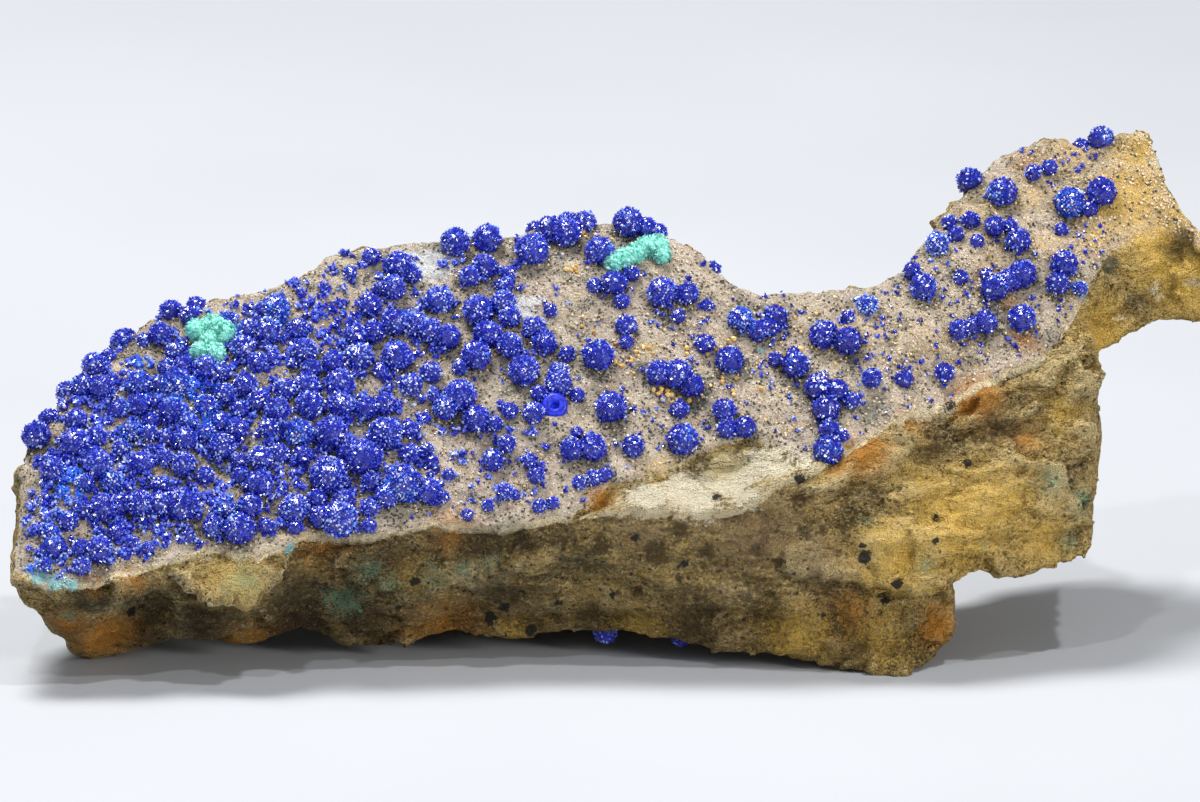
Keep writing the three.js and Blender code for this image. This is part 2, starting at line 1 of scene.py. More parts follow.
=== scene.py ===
# A hand-sized azurite specimen: a slab of sandy, iron-stained rock whose sloping growth face carries balls
# of small azurite crystals and two tufts of malachite.
# Places are read in a front view that looks down a little: across and up, in millimetres in its picture
# plane. Back is how far behind the right foot a point lies along the table.
import math

import bmesh
import bpy
import numpy as np
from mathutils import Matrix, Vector, noise
from mathutils.bvhtree import BVHTree


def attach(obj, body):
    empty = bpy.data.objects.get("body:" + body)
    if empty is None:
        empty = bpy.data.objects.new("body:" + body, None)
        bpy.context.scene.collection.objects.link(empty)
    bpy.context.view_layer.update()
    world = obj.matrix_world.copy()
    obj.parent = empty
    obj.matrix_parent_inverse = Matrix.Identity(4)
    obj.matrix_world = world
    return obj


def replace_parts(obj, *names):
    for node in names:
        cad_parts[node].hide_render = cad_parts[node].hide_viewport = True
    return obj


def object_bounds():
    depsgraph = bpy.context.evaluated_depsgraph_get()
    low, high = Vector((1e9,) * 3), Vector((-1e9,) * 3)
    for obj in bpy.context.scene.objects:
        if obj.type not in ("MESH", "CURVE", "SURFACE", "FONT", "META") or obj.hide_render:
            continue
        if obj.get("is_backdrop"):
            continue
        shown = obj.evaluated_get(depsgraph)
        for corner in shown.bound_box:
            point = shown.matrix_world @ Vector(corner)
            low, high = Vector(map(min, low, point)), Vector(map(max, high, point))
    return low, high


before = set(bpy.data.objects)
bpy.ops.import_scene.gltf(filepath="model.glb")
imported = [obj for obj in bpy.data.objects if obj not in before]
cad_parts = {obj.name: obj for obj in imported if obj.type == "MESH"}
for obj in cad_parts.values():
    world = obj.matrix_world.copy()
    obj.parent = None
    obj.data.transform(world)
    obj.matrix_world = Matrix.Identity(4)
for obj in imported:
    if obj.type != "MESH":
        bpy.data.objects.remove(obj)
cad_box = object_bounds()

# Driving dimensions, in millimetres where a line says nothing else
MM = 0.001  # metres in a millimetre
LOOK_DOWN = math.radians(15)  # how far the front view looks down
ACROSS_MIDDLE = 37.528  # the specimen's middle, across and back, in the front view's measure
BACK_MIDDLE = 10.919
SIGHT_START = 100  # how far in front of the right foot a line of sight starts
NOISE_SEED = 7  # without it the vector noise differs from run to run
BALL_SEED = 21  # seeds of the random draws for the balls, the smaller crystals, the sand and the tufts
SMALL_SEED = 22
SAND_SEED = 23
LEFT_TUFT_SEED = 19
TOP_TUFT_SEED = 18

# The rock
GROWTH_DIP = math.radians(40)  # slope of the growth face
ROCK_DEPTH = 29  # a little more than the rock's depth, back along the table
ROCK_CELL = 0.29  # size of the rock's mesh
SOFTENINGS = 3  # how often that mesh is softened before it gets its relief
EVENING = 0.35  # how far the relief is evened from vertex to vertex
RAGGED = 0.35  # how far a line across the front strays
RAGGED_SIZES = (1.1, 2.5, 0.4)  # size of its wide strays, across and up, and of its narrow ones
EDGE_HIGHLIGHT_REACH = 0.17  # half the breadth of the painted highlights along the pale rims
DUST_AND_SHADE_REACH = 0.7  # how far dark dust and painted shadow spread round a ball
LEDGE_STEP = 0.2  # half the height over which a ledge steps back
LEDGE_ENDS = (0.4, 0.8)  # how far a ledge fades beyond its ends, and within them
TAIL = (64, 69)  # where the tail starts and where it is full, across: its growth face has a soft edge
EDGE_SOFTNESS = (0.3, 1.2)  # half the breadth of the growth face's edge, and what the tail adds to it
GROWTH_TURN = (0.35, 0.6)  # cosines to the growth face's normal: broken rock up to one, sandy from the other
FACING = (0.05, 0.4)  # cosines to the line of sight: rock seen edge on up to one, squarely from the other
RELIEF_RANGE = 0.5  # how far out rock takes the full painted highlight of ridges, or in the full painted shade of hollows

# Broken rock. Lumps, grit, dunes and ripples are (height, size)
LUMPS = (0.3, 5)
GRIT = (0.09, 0.45)
BEND = (0.7, 2.2)  # how far its beds and chips are bent, and over what length
CHIP_STRETCH = (1.6, 1.2)  # how much wider, and deeper, than high a chip is
CHIP_JUMP = 17.3  # makes neighbouring chips tilt unlike each other
WIDE_CHIPS = (0.6, 2.8)  # how much chips stand out, and their size
NARROW_CHIPS = (0.5, 1.2)
FACE_CHIPS = (0.5, 0.4, 0.7)  # the same on the front and back alone, with what the block adds in between
BLOCK = (10, 17)  # where the flaky block on the right starts and is full, to the right of the middle
BED_LIP = (0.9, 8.1)  # the share of a bed's thickness up to which it rises, and how fast it falls then
BEDS = (0.32, 1.9, 0.3)  # height and thickness of its beds, and their average share of that height
BED_PATCHES = (6, 0.35)  # size of the patches where beds show, and how far those patches spread
BED_SLOPE = 0.16  # how the beds rise to the right
BED_WANDER = (1.6, 2.5)  # how far they wander up and down, and over what length, in thicknesses
CALM = (1.0, 9.0, 0.55)  # where it is flattest, to the right of the middle, over what reach, and how much

# Sand
DUNES = (0.26, 3)
RIPPLES = [(0.12, 0.9), (0.12, 0.4)]
SAND_TRIES = 4200  # places that are tried for a grain of sand
SAND_SPAN = (0.6, 73.5)  # from where to where across they lie
EDGE_MARGINS = (0.35, 0.2)  # how far sand and bunches stay inside the front edge, and the far one
GRAIN_SIZES = (0.05, 0.1)  # radius of a grain of sand
YELLOW_SIZES = (0.1, 0.19)  # radius of a yellow grain
GRAIN_LUMPS = 0.18  # how far a grain's corners stray, in radii
GRAIN_SHAPES = (0.7, 1.3)  # least and most length of a grain along each of its axes, in radii
GRAIN_SEAT = 0.4  # how far its middle stands above the rock, in radii

# Azurite
BALL_SEAT = 0.35  # how far a ball's middle stands above the rock, in radii
CREST_SEAT = 0.6  # the same at the most, where a ball stands out from the rock's outline
BALL_SWELL = 1.04  # how much fuller than its row says a ball with a solid is
CORE_SHARE = 0.9  # the lumpy core of a ball, in radii
CORE_LUMPS = 0.13  # how far the core's lumps stand out, in radii
BLADE_DENSITY = 21  # crystals to a square millimetre of a ball
BLADE = (0.13, 0.1, 0.06)  # half the length, width and thickness of one crystal
BLADE_SIZES = (0.6, 1.4)  # least and most size of a ball's crystals, against that
BLADE_TILT = 0.8  # how far crystals lean away from standing straight out
BURIED = -0.5  # a ball's crystals are left out where the cosine to its way out of the rock is under this
TONE = (0.27, 0.2)  # how bright a ball is, and what the left half adds
TONE_PATCHES = (0.2, 1.7)  # how much balls differ in brightness, and over what length
TONE_SPREAD = 0.2  # how much the tones of one ball's crystals differ
PAINTED_TOP_LIGHT = 0.12  # painted light: how much brighter crystals are that point straight out of the rock
WHITE_AND_GLINTS = (0.12, 0.06, 0.5)  # share of white crystals, partly painted glints, what the right half adds, and what full haze adds
HAZE = (1.6, 0.15)  # size of the hazy patches, and how far they spread
CRUST_TRIES = 2600  # places that are tried for a bunch of crystals between the balls
CRUST_SPAN = (0.4, 33)  # from where to where across they lie
CRUST_SIZES = (0.18, 0.4)  # reach of such a bunch
CRUST_CRYSTALS = 12  # crystals in it
STRAY_TRIES = 620  # places that are tried for crystals of their own
STRAY_SPAN = (12, 68)  # from where to where across they lie
STRAY_SIZES = (0.06, 0.22)  # reach of a bunch there
STRAY_CRYSTALS = (1, 7)  # crystals in it, from the first number to just under the second
BUNCH_BLADES = (0.7, 1.5)  # least and most size of a bunch's crystals, against one of a ball
PEBBLE_REACH = 0.15  # a bunch that reaches farther stands on a pebble of azurite
LEFT_HALF = (12, -8)  # where the bright crystals of the left half start and where they are full
BROKEN_STEPS = 32  # corners round the broken ball

# Malachite
LOBE_SWELL = 1.12  # how much fuller than its row says a malachite lobe is
LOBE_CORE = (0.92, 0.2)  # its lumpy core, and how far the core's lumps stand out, in radii
LOBE_BUMPS = (60, 0.07, 0.16)  # bumps to a millimetre of a lobe's radius, and their least and most radius
LOBE_NEEDLES = 260  # needles to a millimetre of a lobe's radius
NEEDLE = (0.13, 0.03, 0.03)  # half the length, width and thickness of one needle
NEEDLE_TILT = 0.9

# The growth face's front edge, (across, up)
GROWTH_EDGE = [
    (0.4, 6.5), (2.0, 5.9), (4.1, 5.8), (6.4, 6.3), (8.8, 7.0), (11.6, 8.0), (15.1, 7.5), (17.8, 8.8),
    (21.9, 8.8), (25.8, 9.6), (30.0, 9.4), (33.8, 10.0), (35.3, 10.8), (36.5, 11.9), (39.2, 12.5),
    (42.3, 14.1), (45.3, 15.1), (47.2, 14.6), (48.8, 13.3), (52.4, 14.6), (55.3, 16.2), (58.1, 17.2),
    (61.2, 18.8), (64.1, 20.0), (66.0, 22.5), (67.0, 24.6), (68.1, 26.6), (69.4, 27.4), (71.6, 28.0),
    (74.7, 26.2),
]
# The lower rim of the pale facet under the growth face, which carries the edge on
BROW = [(35.1, 10.0), (38.5, 10.3), (42.6, 10.1), (45.2, 10.4), (47.2, 11.8), (49.0, 12.7), (52.0, 14.2)]
# The front rim, over which the broken rock falls away: the edge, and the brow where the pale facet is
FRONT_RIM = GROWTH_EDGE[:12] + BROW[1:] + GROWTH_EDGE[19:24]
# The sharp lower edge of the wedge that hangs under the growth face on the left
WEDGE = [(9.3, 6.7), (10.6, 5.4), (12.1, 4.6), (13.6, 5.0), (15.1, 5.6), (16.3, 6.5), (17.4, 7.8)]
# The growth face's far edge, which is the specimen's outline
CREST = [
    (0.4, 14.4), (3.6, 18.8), (8.4, 22.9), (15.1, 24.5), (20.3, 26.8), (28.1, 27.5), (32.5, 28.8),
    (39.4, 28.1), (42.5, 26.4), (45.1, 24.1), (53.8, 24.2), (57.3, 28.0), (60.3, 31.6), (62.8, 33.4),
    (66.9, 33.6), (70.4, 34.6), (74.7, 26.8),
]

# Balls of azurite crystals, (across, up, radius)
BALLS = [
    (9.2, 23.5, 0.81), (6.1, 21.2, 0.94), (4.4, 20.1, 0.81), (8.7, 21.4, 0.75), (2.9, 17.9, 0.81),
    (4.0, 18.1, 0.75), (5.1, 18.0, 0.81), (1.2, 14.9, 0.94), (3.6, 15.9, 0.75), (3.4, 14.4, 1.0),
    (2.2, 12.9, 0.81), (4.9, 13.1, 0.94), (5.8, 12.1, 0.75), (7.6, 13.2, 0.75), (7.1, 15.2, 0.75),
    (7.6, 16.8, 0.81), (7.4, 18.2, 0.81), (9.9, 18.1, 1.0), (9.5, 16.6, 0.88), (10.2, 19.2, 0.75),
    (11.6, 19.2, 0.81), (10.4, 13.2, 0.81), (5.2, 10.5, 0.88), (6.4, 10.8, 0.75), (7.7, 10.8, 0.88),
    (8.9, 10.7, 0.81), (10.1, 10.6, 1.12), (2.3, 8.0, 0.75), (5.1, 7.9, 0.88), (12.2, 9.4, 0.75),
    (13.8, 9.2, 1.0), (14.4, 10.6, 0.81), (15.0, 11.9, 0.88), (15.2, 13.6, 0.81), (12.6, 14.3, 0.88),
    (13.6, 15.4, 0.75), (10.4, 14.8, 0.75), (17.2, 10.4, 0.94), (19.4, 12.4, 1.25), (20.3, 10.9, 0.75),
    (20.1, 9.6, 1.19), (18.8, 9.9, 0.75), (21.5, 13.4, 1.19), (22.8, 15.2, 1.06), (19.4, 15.1, 1.06),
    (20.5, 14.1, 0.75), (17.4, 15.1, 0.94), (16.1, 16.6, 0.81), (18.1, 16.9, 0.94), (20.2, 16.9, 0.88),
    (20.1, 18.2, 0.94), (21.6, 16.7, 0.81), (22.9, 16.9, 0.75), (17.8, 18.1, 0.88), (16.4, 17.9, 0.75),
    (14.2, 18.1, 0.81), (15.0, 17.1, 0.75), (12.8, 17.6, 0.75), (11.6, 16.8, 0.75), (15.4, 21.4, 0.94),
    (14.2, 21.6, 0.75), (15.9, 22.9, 0.94), (13.9, 20.4, 0.81), (17.8, 20.2, 0.88), (17.4, 21.6, 0.75),
    (19.6, 19.5, 0.75), (21.2, 19.8, 0.94), (21.0, 21.2, 0.81), (22.1, 21.5, 0.75), (23.4, 22.1, 0.88),
    (23.5, 19.9, 1.0),
    (23.6, 25.5, 0.94), (23.3, 24.2, 0.81), (24.6, 21.9, 0.88), (25.6, 21.5, 0.81), (26.7, 21.1, 0.81),
    (27.2, 27.1, 0.94), (29.1, 27.3, 0.94), (28.1, 25.0, 0.69), (29.0, 25.6, 0.81), (31.9, 26.5, 1.06),
    (33.1, 27.8, 0.88), (34.4, 29.1, 0.75), (35.3, 28.4, 0.75), (34.2, 27.6, 0.94), (36.2, 26.5, 0.94),
    (38.1, 28.2, 1.0), (39.1, 28.4, 0.75), (37.1, 24.4, 0.81), (40.1, 23.9, 1.0), (41.7, 23.9, 0.75),
    (26.1, 23.3, 0.94), (28.7, 22.8, 1.0), (30.2, 23.2, 0.88), (30.6, 22.4, 0.75), (29.2, 21.2, 0.94),
    (30.5, 20.6, 0.81), (28.5, 19.9, 0.94), (31.4, 19.0, 1.0), (32.2, 21.7, 0.75), (32.8, 20.8, 0.81),
    (36.2, 19.9, 1.0), (39.9, 18.9, 0.81), (41.1, 18.8, 0.94), (42.1, 18.1, 0.75), (33.7, 18.9, 0.69),
    (33.6, 18.1, 0.88), (27.5, 17.4, 1.06), (26.6, 16.7, 0.81), (28.5, 16.1, 0.88), (37.1, 16.7, 1.0),
    (44.1, 16.6, 0.75), (44.2, 15.5, 0.69), (45.3, 15.6, 0.69), (41.4, 14.7, 1.0), (35.7, 14.3, 0.88),
    (34.5, 14.2, 0.75), (23.9, 11.8, 1.25), (25.4, 11.5, 0.88), (22.9, 11.2, 0.75), (22.0, 12.1, 0.69),
    (62.5, 27.2, 0.81), (61.1, 28.1, 0.69), (45.1, 22.2, 0.81), (46.1, 21.5, 0.69), (47.3, 22.4, 0.81),
    (46.8, 21.7, 0.69), (44.4, 19.7, 0.88), (48.5, 19.3, 0.88), (50.3, 21.2, 0.94), (51.8, 20.9, 0.88),
    (49.9, 18.1, 0.88), (51.1, 17.8, 0.75), (50.4, 16.7, 0.88), (50.6, 15.4, 0.69), (50.4, 14.1, 0.94),
    (56.5, 24.3, 0.88), (61.0, 24.1, 0.88), (61.9, 24.6, 0.81), (62.8, 25.1, 0.88), (58.7, 21.6, 0.69),
    (60.3, 22.1, 0.75), (62.6, 22.3, 0.88), (65.3, 25.8, 0.88), (65.0, 24.6, 0.75), (59.4, 31.2, 0.88),
    (61.6, 30.2, 0.94), (68.0, 33.9, 0.88), (67.8, 30.3, 0.94), (65.8, 29.5, 1.0),
]
# Smaller balls, which have no solid
SMALL_BALLS = [
    (0.5, 15.6, 0.5), (1.2, 16.6, 0.69), (1.7, 7.0, 0.5), (2.1, 8.9, 0.62), (3.1, 9.7, 0.69),
    (4.0, 6.9, 0.62), (4.0, 8.1, 0.62), (4.1, 12.1, 0.62), (4.2, 10.4, 0.62), (4.8, 14.9, 0.69),
    (5.2, 21.0, 0.56), (6.1, 9.0, 0.62), (6.1, 16.6, 0.62), (6.4, 14.2, 0.62), (7.2, 8.4, 0.44),
    (7.7, 21.0, 0.5), (8.1, 8.1, 0.44), (8.1, 15.1, 0.62), (8.3, 15.9, 0.62), (8.6, 18.2, 0.62),
    (8.8, 11.9, 0.62), (9.1, 19.2, 0.62), (9.2, 13.6, 0.62), (9.2, 14.9, 0.62), (9.7, 20.2, 0.69),
    (10.5, 22.6, 0.62), (10.6, 8.8, 0.5), (10.6, 15.8, 0.69), (10.7, 23.7, 0.69), (11.6, 12.5, 0.62),
    (11.6, 15.1, 0.69), (12.6, 15.9, 0.69), (12.6, 18.9, 0.69), (13.1, 22.2, 0.62), (13.2, 10.4, 0.62),
    (13.8, 13.4, 0.62), (13.8, 16.6, 0.69), (13.9, 12.5, 0.62), (14.9, 19.6, 0.69), (15.1, 22.8, 0.62),
    (15.4, 9.4, 0.56), (15.6, 15.4, 0.69), (15.8, 19.8, 0.56), (16.2, 13.9, 0.69), (17.3, 9.3, 0.5),
    (17.6, 13.9, 0.69), (18.2, 19.2, 0.69), (18.6, 11.1, 0.69), (20.6, 25.2, 0.5), (21.8, 23.1, 0.81),
    (21.9, 9.4, 0.5), (21.9, 10.5, 0.62), (21.9, 26.2, 0.62), (22.5, 19.0, 0.56), (22.5, 24.2, 0.5),
    (24.4, 13.8, 0.75), (24.4, 18.1, 0.81), (24.5, 15.4, 0.62), (24.5, 25.1, 0.62), (25.5, 14.2, 0.5),
    (25.6, 18.9, 0.75), (25.8, 13.4, 0.5), (25.9, 17.5, 0.56), (26.5, 11.2, 0.44), (26.8, 12.6, 0.44),
    (27.5, 19.3, 0.56), (27.9, 10.1, 0.44), (29.2, 10.7, 0.44), (29.6, 13.6, 0.75), (29.7, 15.8, 0.56),
    (30.2, 24.4, 0.62), (30.4, 11.5, 0.62), (30.5, 14.5, 0.62), (30.5, 25.2, 0.56), (30.7, 16.6, 0.56),
    (31.9, 13.4, 0.56), (32.0, 28.2, 0.62), (32.1, 16.4, 0.75), (32.3, 12.6, 0.56), (32.4, 17.6, 0.56),
    (32.5, 10.6, 0.5), (33.1, 22.9, 0.5), (33.3, 10.8, 0.44), (34.2, 20.1, 0.56), (34.8, 15.2, 0.44),
    (34.8, 17.6, 0.5), (35.0, 12.1, 0.5), (35.8, 12.4, 0.56), (35.9, 24.4, 0.56), (36.6, 12.6, 0.5),
    (37.6, 23.4, 0.56), (37.9, 20.9, 0.5), (37.9, 21.9, 0.75), (38.2, 25.1, 0.56), (38.3, 14.4, 0.75),
    (40.1, 28.5, 0.62), (41.1, 22.5, 0.5), (41.2, 16.6, 0.62), (42.8, 20.7, 0.69), (42.9, 23.2, 0.44),
    (43.4, 25.6, 0.56), (47.2, 19.8, 0.5), (48.4, 20.2, 0.44), (51.4, 15.0, 0.5), (51.8, 22.4, 0.5),
    (52.0, 17.2, 0.56), (53.1, 23.1, 0.75), (53.2, 18.6, 0.69), (55.2, 18.6, 0.62), (55.9, 25.3, 0.62),
    (57.4, 26.9, 0.81), (57.8, 19.0, 0.69), (58.2, 28.4, 0.5), (58.6, 27.6, 0.56), (58.9, 25.0, 0.5),
    (59.5, 28.5, 0.62), (59.6, 21.9, 0.62), (59.9, 27.2, 0.5), (60.4, 25.1, 0.5), (62.0, 28.2, 0.5),
    (63.5, 31.6, 0.56), (64.5, 31.9, 0.56), (65.2, 27.9, 0.5), (66.3, 24.3, 0.5), (66.8, 33.4, 0.62),
    (67.0, 29.2, 0.56),
]
# A ball broken through its middle, (across, up, radius), and its half section from the middle of its pit
# round to the middle of its back, (out to the side, out to the front), in radii
BROKEN_BALL = (33.4, 16.9, 0.85)
BROKEN_SECTION = [
    (0.0, -0.12), (0.14, -0.1), (0.24, 0.12), (0.36, 0.3), (0.5, 0.34), (0.62, 0.26), (0.7, 0.28),
    (0.85, 0.22), (0.97, 0.02), (0.98, -0.25), (0.7, -0.7), (0.3, -0.95), (0.0, -1.0),
]
# Balls on the rock's underside, in the arch between its feet, (across, back, height, radius)
UNDER_BALLS = [(36.6, 5.6, 1.55, 0.85), (41.3, 4.6, 1.5, 0.7)]
UNDER_OUTWARD = np.array([0.0, -0.5, -0.9])  # the way out of the rock there

# Where yellow iron grains lie, (across, up, spread, how many)
YELLOW_GRAINS = [
    (35.6, 28.0, 0.5, 8), (36.2, 26.9, 0.5, 8), (34.8, 25.4, 0.5, 6), (40.0, 17.7, 0.4, 9),
    (41.2, 17.4, 0.4, 7), (37.5, 19.6, 0.5, 7), (33.9, 18.6, 0.3, 4), (42.0, 20.2, 1.2, 8),
    (47.5, 21.0, 1.5, 8), (38.8, 20.4, 1.0, 8), (49.0, 23.0, 1.2, 6), (44.0, 18.3, 1.2, 8),
    (20.3, 12.5, 0.2, 2), (29.8, 20.2, 0.3, 3), (36.5, 22.0, 1.0, 6),
]

# Places where the crystals are paler or bright light blue, (across, up, radius, strength)
PALE_CRYSTALS = [
    (3.4, 12.1, 1.2, 0.8), (7.2, 15.3, 1.0, 0.7), (5.9, 12.2, 0.7, 1.0), (9.9, 18.1, 1.2, 0.9),
    (13.1, 10.4, 0.7, 0.8), (2.1, 9.0, 0.7, 0.8), (23.8, 11.9, 1.1, 0.7), (45.3, 22.5, 1.0, 0.6),
    (53.1, 23.3, 1.1, 0.9), (57.4, 26.9, 1.2, 0.9), (65.7, 29.8, 0.9, 0.9), (66.4, 24.4, 0.6, 0.8),
    (17.4, 15.3, 0.8, 0.8), (13.1, 22.2, 0.8, 0.7), (16.0, 22.9, 1.0, 0.6), (11.5, 16.5, 2.0, 0.35),
    (8.0, 19.0, 2.0, 0.3), (61.0, 30.4, 0.7, 0.6), (50.4, 14.3, 0.8, 0.5), (1.6, 6.8, 1.0, 0.8),
    (24.8, 24.8, 1.0, 0.4), (68.4, 33.9, 0.7, 0.5), (41.6, 15.2, 0.5, 0.8),
]

# Malachite lobes, (across, up, radius)
LEFT_TUFT = [
    (11.1, 21.6, 0.62), (11.9, 21.8, 0.69), (12.6, 21.4, 0.69), (11.8, 20.9, 0.56), (11.3, 20.3, 0.56),
    (12.2, 20.2, 0.56),
]
TOP_TUFT = [
    (37.2, 25.8, 0.56), (37.8, 26.1, 0.62), (38.5, 26.4, 0.62), (39.2, 26.8, 0.62), (39.8, 26.8, 0.69),
    (40.2, 26.3, 0.5),
]

# Ledges of the broken rock. A ledge is a line, (across, up); the rock above it stands out, the rock below
# it steps back, and both fade over the reach: (line, out above, in below, reach). A negative number turns
# that round.
LEDGES = [
    (GROWTH_EDGE[:-6], 0.25, 0.5, 0.6),
    (BROW, 0.45, 0.6, 0.8),
    (WEDGE, 0.6, 0.7, 1.1),
    ([(2.0, 4.6), (4.5, 3.5), (7.5, 3.2), (11.0, 3.4), (15.0, 3.9)], 0.15, -0.25, 0.9),
    ([(19.0, 4.4), (22.0, 5.4), (25.5, 6.6), (29.0, 7.4), (33.0, 7.9)], -0.3, -0.35, 1.3),
    ([(48.5, 6.4), (51.0, 6.1), (53.5, 5.6), (56.0, 5.5), (58.5, 6.1)], 0.35, 0.8, 1.2),
    ([(30.0, 3.8), (34.0, 4.2), (39.0, 3.9), (44.0, 4.4), (48.5, 3.8)], 0.25, 0.3, 1.0),
    ([(47.5, 9.4), (51.0, 10.6), (55.5, 10.9), (59.0, 12.4), (64.0, 13.0)], 0.3, 0.3, 1.1),
    ([(54.0, 8.0), (57.5, 8.3), (61.0, 9.0), (64.5, 8.8), (67.5, 9.8)], 0.3, 0.35, 0.9),
    ([(58.5, 14.9), (61.0, 16.4), (64.0, 17.2), (66.6, 18.4)], -0.2, -0.3, 0.9),
    ([(68.0, 22.5), (70.5, 24.3), (74.5, 25.2)], 0.3, 0.3, 0.9),
]

# Hollows and swellings of the rock, (across, up, radius, how far out, or in where it is negative)
SWELLS = [
    (8.4, 4.8, 1.6, -0.35), (14.0, 6.6, 1.6, 0.25), (24.0, 8.0, 2.2, -0.5), (29.0, 8.6, 2.0, -0.5),
    (22.0, 4.6, 2.2, -0.35), (36.2, 11.1, 0.7, -0.6), (72.5, 26.6, 0.9, -0.35), (57.0, 14.0, 1.8, -0.4),
    (62.0, 16.0, 1.8, -0.5), (60.0, 10.8, 2.2, 0.35), (54.0, 8.2, 2.0, 0.3), (64.5, 6.8, 1.0, -0.5),
    (61.0, 5.7, 0.8, 0.5), (66.8, 7.2, 0.8, 0.5), (57.4, 3.4, 0.9, -0.4), (58.2, 1.9, 0.7, 0.4),
    (43.5, 12.6, 1.2, -0.3), (47.0, 13.2, 0.9, 0.25), (70.5, 22.6, 0.8, -0.4), (68.0, 21.0, 0.9, 0.4),
    (70.0, 33.4, 0.9, 0.6), (73.0, 28.9, 0.8, 0.5), (71.8, 31.0, 0.8, -0.35),
]
